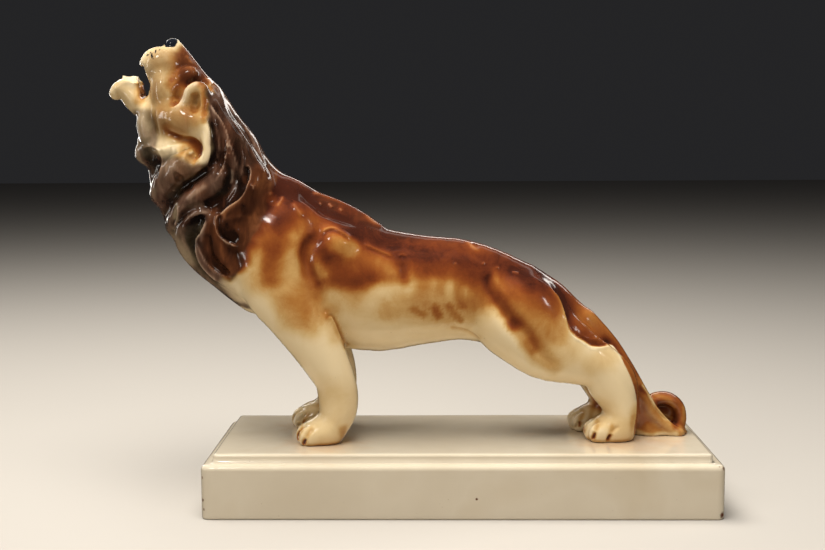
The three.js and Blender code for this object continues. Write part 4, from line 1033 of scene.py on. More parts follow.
DABS = (
    Patch("back band", Layer.OCHRE, 0.94, 0.66, 176, 150, 12, (
        (-122, 226), (-98, 216), (-60, 200), (-40, 188), (0, 182), (44, 166), (62, 152), (63, 138),
        (50, 140), (30, 150), (0, 157), (-34, 158), (-60, 167), (-84, 182), (-104, 194), (-126, 206))),
    Patch("flank", Layer.OCHRE, 0.62, 0.50, 170, 146, 11, (
        (-98, 190), (-50, 178), (0, 166), (24, 156), (16, 146), (0, 150), (-34, 150), (-38, 144),
        (-58, 145), (-76, 142), (-92, 144))),
    Patch("flank wash", Layer.OCHRE, 0.30, 0.10, 148, 122, 16, (
        (-96, 150), (-40, 150), (20, 152), (24, 132), (10, 122), (-40, 120), (-80, 128))),
    Dab("mass", Layer.OCHRE, 0.44, 12, ((-84, 164, 3), (-72, 154, 5), (-62, 148, 4))),
    Dab("mass deep", Layer.OCHRE, 0.32, 8, ((-76, 150, 2), (-62, 147, 2))),
    Dab("belly clear", Layer.OCHRE, -0.65, 9, ((-58, 136, 3), (-46, 138, 4), (-38, 139, 3))),
    Patch("haunch", Layer.OCHRE, 0.74, 0.22, 150, 106, 9, (
        (22, 160), (40, 160), (56, 152), (67, 133), (71, 118), (68, 107), (52, 103), (38, 116),
        (26, 134))),
    Dab("haunch dark", Layer.OCHRE, 0.28, 9, ((48, 143, 4), (58, 132, 3))),
    Dab("haunch top", Layer.OCHRE, 0.40, 8, ((22, 160, 2), (42, 155, 2), (54, 147, 1))),
    Patch("haunch front", Layer.OCHRE, 0.50, 0.30, 160, 134, 8, (
        (-4, 162), (20, 162), (19, 132), (14, 130), (10, 142), (0, 148))),
    Patch("rump", Layer.OCHRE, 0.80, 0.50, 140, 60, 1.6, (
        (44, 168), (50.6, 151), (56, 145.9), (60.9, 140.6), (64.8, 135.8), (67.4, 129), (69.4, 122),
        (71.4, 115.8), (75, 111.6), (80.6, 108.2), (85, 105.2), (90, 104.5), (96, 104.6), (101, 103),
        (104.8, 98.4), (108.8, 90), (112.4, 82), (114.9, 74), (116, 66), (115.8, 58), (114.8, 50),
        (114, 40), (160, 40), (160, 80), (126, 84), (100, 122), (70, 152))),
    Dab("rump deep", Layer.OCHRE, 0.34, 6, ((68, 136, 0.5), (74, 118, 1), (84, 110, 1), (96, 107, 0.5))),
    Dab("rump glow", Layer.OCHRE, -0.20, 9, ((82, 122, 4), (96, 113, 3))),
    Dab("tail light", Layer.OCHRE, -0.22, 8, ((119, 60, 2), (124, 51, 5), (136, 47, 3))),
    Dab("tail foot", Layer.OCHRE, -0.70, 2.8, ((113, 41, 1), (128, 41.4, 1), (142, 42, 0.6))),
    Dab("tail lower", Layer.OCHRE, 0.30, 8, ((117, 62, 2), (120, 52, 3), (128, 46, 1))),
    Dab("curl ring", Layer.OCHRE, 0.46, 3, (
        (120, 74, 1), (127, 72.4, 1.6), (135, 72, 1.6), (142, 69, 1.6), (146, 62, 1.6), (146, 54, 1.4),
        (143, 48, 1.2))),
    # painted highlight along the tail curl's ridge
    Dab("curl ridge highlight", Layer.OCHRE, -0.50, 1.4, (
        (121, 75, 0.2), (125, 70, 0.3), (130, 60, 0.3), (136, 53, 0.4), (143, 50.4, 0.3))),
    Dab("hind paw light", Layer.OCHRE, -0.30, 5, ((95, 50, 2), (102, 49, 2))),
    Dab("far paw light", Layer.OCHRE, -0.30, 4, ((80, 50, 2), (84, 48, 2))),
    Dab("curl inside", Layer.OCHRE, 0.40, 4, ((134, 61, 2), (138, 57, 2))),
    Patch("shoulder", Layer.OCHRE, 0.80, 0.46, 206, 176, 12, (
        (-136, 214), (-120, 218), (-100, 206), (-96, 190), (-104, 180), (-112, 184), (-124, 178),
        (-132, 186))),
    Dab("shoulder streak", Layer.OCHRE, 0.38, 10, ((-122, 190, 3), (-121.5, 172, 4), (-120, 152, 2))),
    Dab("streak knot", Layer.OCHRE, 0.34, 6, ((-122, 171, 2), (-119, 167, 2))),
    Dab("streak top", Layer.OCHRE, 0.42, 7, ((-112, 190, 2), (-115, 180, 2), (-113, 174, 2))),
    Dab("chest wash", Layer.OCHRE, 0.26, 16, ((-132, 172, 4), (-130, 154, 4))),
    Dab("collar shade", Layer.OCHRE, 0.66, 8, ((-131, 196, 4), (-136, 182, 6), (-142, 168, 5), (-145, 160, 2))),
    Dab("pale shoulder", Layer.OCHRE, -0.22, 9, ((-108, 168, 2), (-108, 158, 4), (-109, 145, 5))),
    Dab("column wash", Layer.OCHRE, 0.32, 14, ((-110, 180, 6), (-112, 150, 8), (-106, 130, 6))),
    Dab("shoulder hollow", Layer.OCHRE, 0.28, 8, (
        (-97, 180, 2), (-100, 170, 2), (-99, 160, 2), (-96, 150, 2), (-92, 142, 1))),
    Dab("hollow knot", Layer.OCHRE, 0.26, 6, ((-97, 176, 2), (-101, 166, 1), (-97, 154, 1))),
    Dab("knob shade", Layer.OCHRE, 0.36, 5, ((-86.5, 176, 1), (-86, 169, 2), (-88, 162, 1.5))),
    Dab("knob light", Layer.OCHRE, -0.34, 6, ((-80, 173, 3), (-70, 168, 3))),
    Dab("arm light", Layer.OCHRE, -0.30, 5, ((-91, 158, 1.5), (-88, 152, 1.5))),
    Dab("rib end", Layer.OCHRE, 0.46, 6, ((-40, 167, 1), (-38, 158, 2), (-36.4, 148, 0.5))),
    Dab("low flank", Layer.OCHRE, 0.38, 8, ((-24, 155, 2), (0, 155, 3), (14, 152, 2))),
    Dab("flank spot", Layer.OCHRE, 0.30, 2.5, ((-31, 129.5, 1), (-24, 125, 1))),
    Dab("flank spot 2", Layer.OCHRE, 0.42, 2.6, ((-17, 130, 1), (-14.5, 125, 1.5))),
    Dab("flank spot 3", Layer.OCHRE, 0.30, 2.5, ((-8, 131, 1), (-5, 126, 1), (0, 121, 1))),
    Dab("flank streak", Layer.OCHRE, 0.30, 4, ((-2.4, 150, 1), (-1, 140, 1.5), (1, 131, 1))),
    Dab("flank streak 2", Layer.OCHRE, 0.20, 6, ((8, 146, 1), (10, 136, 1.5), (6, 130, 1))),
    Dab("flank drip", Layer.OCHRE, 0.20, 6, ((-26, 152, 1), (-24, 143, 1))),
    Dab("flank drip 2", Layer.OCHRE, 0.18, 5, ((-13, 150, 1), (-14, 142, 1))),
    Dab("flank haze", Layer.OCHRE, 0.16, 12, ((-44, 132, 3), (-6, 128, 5), (8, 130, 4))),
    Dab("belly wash", Layer.OCHRE, 0.07, 16, ((-70, 128, 6), (-20, 124, 8), (14, 122, 5))),
    Dab("arm patch", Layer.OCHRE, 0.24, 12, ((-102, 137, 3), (-93, 129, 4), (-96, 121, 2))),
    # painted shade along the elbow's crease: a thin dark line and a soft wash
    Dab("elbow", Layer.OCHRE, 0.22, 2.4, ((-86, 124.6, 0.2), (-82.4, 123, 0.4), (-79, 114, 0.4), (-75, 104, 0.3))),
    Dab("elbow wash", Layer.OCHRE, 0.16, 8, ((-84, 126, 1), (-80, 112, 1))),
    # painted shade in the haunch's groove
    Dab("haunch groove", Layer.OCHRE, 0.56, 5, (
        (19, 150, 1), (21, 141, 2), (24, 134, 2), (29, 127, 2), (35, 119, 1.5))),
    Dab("thigh streak", Layer.OCHRE, 0.34, 7, ((35, 119, 1.5), (41, 112, 1.5), (46, 105, 1))),
    Dab("thigh end", Layer.OCHRE, 0.22, 8, ((45, 106, 1.5), (52, 97, 1.5), (62, 91, 1))),
    Dab("thigh haze", Layer.OCHRE, 0.20, 14, ((54, 108, 4), (68, 101, 3))),
    Dab("hock haze", Layer.OCHRE, 0.14, 9, ((84, 92, 2), (96, 96, 3))),
    Dab("belly line", Layer.OCHRE, 0.14, 2.4, ((-5, 116, 0.2), (4, 114, 0.2), (12, 109, 0.2))),
    Dab("leg tint", Layer.OCHRE, 0.10, 18, ((-84, 70, 5), (-90, 46, 6))),
    Dab("fore heel", Layer.OCHRE, 0.24, 4.5, ((-76.6, 52, 0.3), (-76, 43, 0.8))),
    Dab("fore sole", Layer.OCHRE, 0.36, 2.2, ((-99, 41, 0.4), (-80, 41, 0.5))),
    Dab("toe shade 1", Layer.OCHRE, 0.22, 2.4, ((-106.6, 46, 0.3), (-104, 51, 0.2))),
    Dab("toe shade 2", Layer.OCHRE, 0.14, 2.4, ((-101.6, 44, 0.3), (-97.4, 52, 0.2))),
    Dab("toe shade 3", Layer.OCHRE, 0.24, 2.4, ((81, 47, 0.3), (83.4, 54, 0.2))),
    Dab("toe shade 4", Layer.OCHRE, 0.20, 2.4, ((86.6, 45, 0.3), (89.4, 54, 0.2))),
    Dab("toe shade 5", Layer.OCHRE, 0.18, 2.4, ((96.6, 44, 0.3), (98.6, 52, 0.2))),
    Dab("hind sole", Layer.OCHRE, 0.34, 2.4, ((84, 41.6, 0.4), (98, 41, 0.5), (110, 41.4, 0.5))),
    Dab("fore slot", Layer.OCHRE, 0.55, 1.3, ((-106.6, 46.6, 0.3), (-107, 43.6, 0.4))),
    Dab("fore slot 2", Layer.OCHRE, 0.60, 1.4, ((-101.6, 44.2, 0.4), (-102.2, 42.4, 0.5))),
    Dab("hind slot", Layer.OCHRE, 0.50, 1.2, ((81, 47.4, 0.3), (80.8, 45, 0.3))),
    Dab("hind slot 2", Layer.OCHRE, 0.60, 1.3, ((86.9, 46.4, 0.4), (86.2, 44, 0.5))),
    Dab("hind slot 3", Layer.OCHRE, 0.60, 1.3, ((97, 45.2, 0.4), (96, 43, 0.4))),
    Dab("web", Layer.OCHRE, 0.62, 5, ((86, 70, 1), (88, 66, 2), (92, 60, 2)), most_y=9),
    # painted shade on the far fore paw, on its inner side between the feet
    Dab("far fore paw shade", Layer.OCHRE, 0.30, 6, ((-98, 61, 2), (-94, 59, 1)), most_y=16),
    Dab("hind tint", Layer.OCHRE, 0.12, 10, ((92, 62, 2), (100, 54, 3), (108, 50, 2))),
    Dab("heel shade", Layer.OCHRE, 0.14, 4, ((112.6, 56, 0.5), (112.8, 44, 1))),
    Patch("bridge", Layer.OCHRE, 0.58, 0.60, 298, 272, 8, (
        (-184, 296), (-176, 304), (-158, 282), (-160, 272), (-168, 275), (-176, 272), (-181, 278),
        (-183, 288))),
    Dab("bridge deep", Layer.OCHRE, 0.36, 5, ((-176.6, 281, 1.5), (-173, 277, 2))),
    Dab("bridge edge", Layer.OCHRE, 0.60, 5.5, ((-176, 296, 1), (-170, 288, 1.5), (-164, 280, 1))),
    Dab("brow", Layer.OCHRE, 0.38, 7, ((-183, 292, 2), (-182, 284, 2), (-183, 276, 2))),
    Dab("notch", Layer.OCHRE, 0.26, 4.5, ((-180, 273, 1.2), (-182, 266, 1.6), (-184, 262, 1))),
    Dab("cheek spot", Layer.OCHRE, 0.26, 2, ((-186, 277, 0.6),)),
    Dab("jaw wash", Layer.OCHRE, 0.10, 9, ((-222, 272, 4), (-213, 261, 4))),
    Dab("face wash", Layer.OCHRE, 0.20, 12, ((-192, 288, 5), (-190, 264, 6), (-186, 250, 6))),
    Dab("ear wash", Layer.OCHRE, 0.24, 8, ((-169, 271, 3), (-169, 258, 4))),
    # painted highlight along the ear's rim
    Dab("ear rim highlight", Layer.OCHRE, -0.50, 2.4, ((-178.4, 265, 0.5), (-175, 271.4, 0.5), (-169, 274.6, 0.5))),
    Dab("ear back line", Layer.OCHRE, 0.34, 3, ((-162.4, 271, 0.4), (-162, 262, 0.5), (-162, 252, 0.5))),
    Dab("jaw lining", Layer.OCHRE, 0.30, 4, ((-208, 275, 2), (-208, 264, 2.4))),
    Dab("jaw mark", Layer.OCHRE, 0.34, 1.6, ((-208.5, 276.5, 0.3), (-208, 273.5, 0.3))),
    Dab("jaw mark 2", Layer.OCHRE, 0.55, 1.5, ((-205.6, 275.4, 0.4), (-206, 271.6, 0.4))),
    # painted shade in the deep crescent hollow under the cheek ruff
    Dab("crescent hollow", Layer.OCHRE, 0.34, 6, (
        (-188, 245, 0.6), (-182, 241.6, 1), (-172, 238.6, 1.2), (-167, 234.8, 1.2))),
    Dab("crescent deep", Layer.OCHRE, 0.26, 3.4, ((-171, 238.4, 0.6), (-167, 235.4, 0.8), (-166.4, 232, 0.5))),
    Dab("ruff pit", Layer.OCHRE, 0.28, 6, ((-176, 231, 1), (-169, 230, 2))),
    Dab("under ruff", Layer.OCHRE, 0.24, 6, ((-178, 224, 2), (-168, 222, 2))),
    # painted highlight along the ruff's ridge
    Dab("ruff highlight", Layer.OCHRE, -0.40, 3, ((-190, 231.6, 0.8), (-180, 233.4, 0.8))),
    Dab("cheek haze", Layer.OCHRE, 0.14, 9, ((-190, 250, 3), (-172, 252, 4))),
    Dab("beard wash", Layer.OCHRE, 0.30, 8, ((-180, 214, 3), (-166, 206, 3), (-164, 216, 2))),
    Patch("mane warm", Layer.OCHRE, 0.66, 0.72, 220, 160, 8, (
        (-158, 202), (-140, 206), (-130, 222), (-120, 218), (-124, 196), (-134, 176), (-140, 158),
        (-150, 148), (-160, 156), (-167, 168), (-164, 186))),
    Dab("strand warm", Layer.OCHRE, 0.30, 7, ((-152, 246, 2), (-148, 234, 2), (-152, 222, 2))),
    Dab("strand warm 2", Layer.OCHRE, 0.24, 7, ((-142, 248, 2), (-134, 232, 2), (-130, 222, 2))),

    Patch("mane", Layer.MANE, 1.0, 0.92, 280, 150, 3, (
        (-163, 282), (-160.6, 268), (-160.4, 251), (-158.6, 243), (-158.2, 235), (-158.8, 228),
        (-161.2, 221.6), (-169, 216.4), (-177.4, 211.2), (-180, 205), (-170, 203), (-160.4, 196),
        (-161, 190), (-164, 189), (-165.4, 184), (-167.8, 179.4), (-171, 175), (-171.4, 168.6),
        (-169.8, 162.6), (-167.2, 156.6), (-163, 151), (-154, 145), (-148, 147), (-142, 156),
        (-137, 166), (-133, 176), (-128, 186), (-125, 196), (-122, 206), (-116, 220), (-130, 250),
        (-150, 280))),
    Patch("front lock", Layer.MANE, 0.86, 0.94, 210, 186, 3, (
        (-184, 199), (-176, 203), (-160, 210), (-158, 190), (-170, 186), (-180, 182), (-187, 182),
        (-184, 190))),
    Patch("breast", Layer.MANE, 0.92, 0.80, 200, 150, 4, (
        (-196, 206), (-184, 199), (-176, 196), (-160, 196), (-162, 186), (-168, 172), (-160, 154),
        (-146, 142), (-136, 128), (-164, 130), (-200, 170), (-204, 190))),
    Patch("beard", Layer.MANE, 0.40, 0.74, 228, 198, 6, (
        (-196, 230), (-176, 226), (-160, 224), (-158, 206), (-172, 204), (-184, 196), (-194, 196),
        (-197, 210))),
    Patch("ruff underside", Layer.MANE, 0.62, 0.84, 228, 200, 5, (
        (-206, 226), (-196, 228), (-186, 229), (-178, 226.6), (-170, 224), (-163, 224), (-158, 232),
        (-156, 222), (-158, 204), (-172, 202), (-184, 194), (-200, 192), (-210, 204))),
    Patch("back violet", Layer.MANE, 0.30, 0.24, 240, 140, 10, (
        (-150, 262), (-128, 232), (-104, 214), (-70, 196), (-40, 186), (0, 180), (40, 166), (60, 150),
        (40, 154), (10, 166), (-30, 170), (-60, 180), (-90, 196), (-112, 212), (-132, 232), (-154, 254))),
    Patch("bridge violet", Layer.MANE, 0.72, 0.66, 300, 272, 7, (
        (-187, 296), (-176, 304), (-156, 280), (-160, 271), (-172, 275), (-180, 276), (-183, 286))),
    Patch("head tint", Layer.OCHRE, 0.0, 0.05, 300, 240, 9, (
        (-206, 300), (-178, 306), (-156, 284), (-154, 232), (-176, 234), (-198, 236), (-200, 262), (-200, 284))),
    Patch("head violet", Layer.MANE, 0.08, 0.14, 300, 240, 9, (
        (-206, 300), (-178, 306), (-156, 284), (-154, 232), (-176, 234), (-198, 236), (-200, 262), (-200, 284))),
    Dab("face violet", Layer.MANE, 0.38, 12, ((-192, 288, 6), (-190, 266, 7), (-184, 252, 8))),
    Dab("jaw violet", Layer.MANE, 0.26, 9, ((-222, 272, 4), (-213, 261, 4))),
    Dab("muzzle violet", Layer.MANE, 0.16, 8, ((-203, 281, 3), (-200, 274, 3))),
    Dab("breast light", Layer.MANE, -0.50, 6, ((-151, 146, 2), (-144, 138, 2))),
    Dab("low lock light", Layer.MANE, -0.20, 7, ((-187, 174, 3), (-178, 160, 2))),
    Dab("ear violet", Layer.MANE, 0.12, 8, ((-169, 268, 4), (-169, 254, 4))),
    Dab("curl violet", Layer.MANE, 0.34, 5, ((126, 70, 3), (140, 66, 3), (143, 54, 3), (118, 72, 3))),
    Dab("rump violet", Layer.MANE, 0.18, 8, ((72, 132, 3), (88, 114, 4), (104, 98, 3), (114, 74, 2))),
    Patch("throat", Layer.MANE, 0.56, 0.74, 256, 222, 4, (
        (-214, 257), (-198, 258), (-196, 246), (-196, 236), (-193, 226), (-196, 210), (-206, 210),
        (-216, 232))),
    Dab("jaw grey", Layer.MANE, 0.22, 7, ((-196, 250, 2), (-194, 240, 3))),
    Dab("throat hollow", Layer.MANE, 0.40, 4, ((-203, 229, 3), (-198, 226, 2))),
    # painted highlight along the front lock's tip
    Dab("front lock highlight", Layer.MANE, -0.30, 2.4, ((-182.6, 197, 0.6), (-184, 189, 0.8))),
    Dab("hook shade", Layer.MANE, 0.42, 3, ((-157.4, 244, 1), (-157.6, 226, 1))),
    Dab("shoulder fade", Layer.MANE, -0.35, 10, ((-120, 200, 2), (-118, 212, 2))),

    # the SHADE layer: painted shade, with dark glaze gathered, mostly in the mane's pits and hollows and under its
    # locks
    Patch("breast dark", Layer.SHADE, 0.28, 0.20, 196, 160, 5, (
        (-184, 196), (-172, 192), (-163, 188), (-168, 178), (-166, 164), (-158, 152), (-176, 166), (-188, 186))),
    Dab("pit", Layer.SHADE, 0.95, 3.5, ((-160.4, 198, 1.6), (-155, 201, 2), (-151, 207, 1.6), (-147.6, 215, 1.2))),
    Dab("valley top", Layer.SHADE, 0.70, 3, ((-146, 219, 1), (-141.6, 217, 1.2), (-139.6, 211, 1))),
    Dab("under collar", Layer.SHADE, 0.60, 3, ((-140.4, 206.6, 1), (-146, 201.6, 1.4), (-152, 197, 1.4))),
    Dab("breast hollow", Layer.SHADE, 0.80, 4, ((-168, 187, 1), (-171.6, 182, 2), (-173.4, 174, 1.5))),
    Dab("collar inside", Layer.SHADE, 0.58, 4, ((-151, 184, 1.4), (-149, 179, 2.2), (-142, 176, 2))),
    Dab("band", Layer.SHADE, 0.36, 4, ((-160, 182, 1.5), (-161, 174, 2), (-157, 164, 2), (-152, 158, 1))),
    Dab("side hollow", Layer.SHADE, 0.26, 5, ((-148, 168, 1), (-143, 163, 1.5), (-144, 158, 1))),
    Dab("throat hollow", Layer.SHADE, 0.55, 3.5, ((-203, 229.6, 2.4), (-199, 226, 1.6), (-196, 218, 0.6))),
    Dab("beard groove", Layer.SHADE, 0.42, 4, (
        (-188, 197, 0.8), (-184, 204, 1.2), (-177, 211, 1.4), (-168, 215, 1.4), (-162, 219, 1.2))),
    Dab("hook shade", Layer.SHADE, 0.30, 2.6, ((-157.6, 248, 0.6), (-157, 236, 0.8), (-158, 226, 0.8))),
    Dab("strand shade", Layer.SHADE, 0.45, 3, ((-150, 232, 0.8), (-149, 222, 1), (-146, 214, 1))),
    Dab("strand shade 2", Layer.SHADE, 0.40, 3, ((-145.6, 246, 0.8), (-140, 232, 0.8), (-139, 222, 0.8))),
    Dab("crest dark", Layer.SHADE, 0.30, 8, ((-155, 254, 3), (-144, 238, 4), (-133, 222, 3))),
    Dab("bridge shade", Layer.SHADE, 0.26, 6, ((-182, 289, 2), (-176, 283, 2))),
    Dab("collar spot", Layer.SHADE, 0.55, 4, ((-133, 206, 1.5), (-134.6, 199, 2), (-138, 193, 1))),
    Dab("front lock shade", Layer.SHADE, 0.20, 3, ((-166, 192, 1), (-174, 190, 1), (-179, 185, 1))),

    Dab("nose", Layer.INK, 1.0, 0.9, ((-192.4, 302, 0.8), (-190, 301.4, 2.2), (-186.8, 302.4, 2.2))),
    Dab("nose side", Layer.INK, 1.0, 0.8, ((-190.4, 300.4, 1.2), (-186.4, 300.6, 1.4))),
    Dab("whisker 1", Layer.INK, 0.9, 0.75, ((-199.8, 295.2, 0.2), (-198.3, 291, 0.2))),
    Dab("whisker 2", Layer.INK, 0.9, 0.9, ((-202, 293.4, 0.3),)),
    Dab("whisker 3", Layer.INK, 0.8, 0.75, ((-197, 296.8, 0.1), (-196.2, 294.4, 0.1))),
    Dab("whisker 4", Layer.INK, 0.7, 0.75, ((-194.4, 296.8, 0.2),)),
)


@dataclass(frozen=True)
class LionGlaze:
    """Clear glaze over sprayed ochre, brushed mane colour and a cream body."""

    relief: bpy.types.NodeTree
    specks: bpy.types.NodeTree
    name: str = "lion_glaze"
    roughness: float = 0.16
    coat_roughness: float = 0.035

    def material(self) -> bpy.types.Material:
        """Builds the material.

        Returns:
            The lion's material.
        """
        mat = bpy.data.materials.new(self.name)
        mat.use_nodes = True
        n = Nodes(mat.node_tree)
        shader = mat.node_tree.nodes["Principled BSDF"]
        where = n.where()
        ochre, mane = n.value("ochre"), n.value("mane")
        hollow, crest, ink = n.value("hollow"), n.value("crest"), n.value("ink")
        shade = n.value("shade")

        cloud = n.math("SUBTRACT", n.noise(where, 60.0, 5.0, 0.65, 0.5), 0.5)
        grain = n.math("SUBTRACT", n.noise(where, 800.0, 2.0, 0.6), 0.5)
        some = n.reach(ochre, 0.0, 0.35)
        pool = n.math("MULTIPLY", hollow, n.math("ADD", 0.10, n.math("MULTIPLY", ochre, 0.26)))
        density = n.math("ADD", ochre, n.math("MULTIPLY", cloud, n.math("ADD", 0.10, n.math("MULTIPLY", some, 0.34))))
        density = n.math("ADD", density, n.math("MULTIPLY", grain, n.math("MULTIPLY", some, 0.07)))
        # crests lose colour: partly the glaze running thinner on them, partly a painted highlight
        density = n.math("SUBTRACT", n.math("ADD", density, pool), n.math("MULTIPLY", crest, 0.34))
        coat = n.ramp(density, [
            (0.00, srgb(224, 203, 163)), (0.12, srgb(213, 186, 138)), (0.28, srgb(193, 154, 96)),
            (0.46, srgb(168, 115, 57)), (0.62, srgb(144, 82, 36)), (0.78, srgb(117, 58, 28)),
            (0.92, srgb(88, 41, 24)), (1.00, srgb(60, 28, 19))])

        streaks = n.noise(n.scaled(where, (1.0, 0.35, 0.35), (0, 0.7, 0)), 150.0, 4.0, 0.6, 0.5)
        tone = n.math("ADD", 0.48, n.math("MULTIPLY", n.math("SUBTRACT", streaks, 0.5), 0.9))
        tone = n.math("ADD", tone, n.math("MULTIPLY", hollow, 0.36))
        # the SHADE layer's painted shade darkens the mane
        tone = n.math("ADD", tone, n.math("MULTIPLY", shade, 0.50))
        # crests are paler in the mane too, partly as a painted highlight
        tone = n.math("SUBTRACT", tone, n.math("MULTIPLY", crest, 0.46))
        grey = n.ramp(tone, [
            (0.00, srgb(182, 156, 132)), (0.20, srgb(138, 110, 92)), (0.42, srgb(96, 70, 56)),
            (0.62, srgb(64, 42, 31)), (0.82, srgb(38, 22, 15)), (1.00, srgb(18, 10, 7))])
        warm = n.ramp(tone, [
            (0.00, srgb(170, 124, 84)), (0.28, srgb(124, 76, 44)), (0.56, srgb(80, 44, 25)),
            (1.00, srgb(30, 15, 8))])
        brush = n.mix(n.reach(n.math("ADD", ochre, cloud), 0.10, 0.75), grey, warm)
        edge = n.math("ADD", mane, n.math("MULTIPLY", cloud, n.math("MULTIPLY", n.reach(mane, 0.0, 0.3), 0.30)))
        colour = n.mix(n.reach(edge, 0.0, 1.0), coat, brush)
        # a pale line on crests and fold ridges: partly glaze running thinner, partly a painted highlight
        thin_glaze_and_highlight = n.math("MULTIPLY", n.reach(crest, 0.25, 0.9), n.math("ADD", 0.10, n.math("MULTIPLY", mane, 0.30)))
        colour = n.mix(thin_glaze_and_highlight, colour, srgb(206, 180, 154))
        colour = n.mix(n.reach(ink, 0.15, 0.75), colour, srgb(22, 25, 32))
        speck = n.group(self.specks, Vector=where, Amount=0.55).outputs["Mask"]
        colour = n.mix(speck, colour, srgb(88, 52, 28))
        n.put(shader, "Base Color", colour)

        skin = n.group(self.relief, Vector=where, Ripple=1.0, Pits=0.10).outputs["Height"]
        bump = n.add("ShaderNodeBump")
        n.put(bump, "Strength", 0.22)
        n.put(bump, "Distance", 0.0006)
        n.put(bump, "Height", skin)
        n.put(shader, "Normal", bump.outputs["Normal"])
        shader.inputs["Roughness"].default_value = self.roughness
        shader.inputs["IOR"].default_value = 1.5
        shader.inputs["Specular IOR Level"].default_value = 0.25
        shader.inputs["Coat Weight"].default_value = 0.42
        shader.inputs["Coat Roughness"].default_value = self.coat_roughness
        shader.inputs["Coat IOR"].default_value = 1.52
        return mat


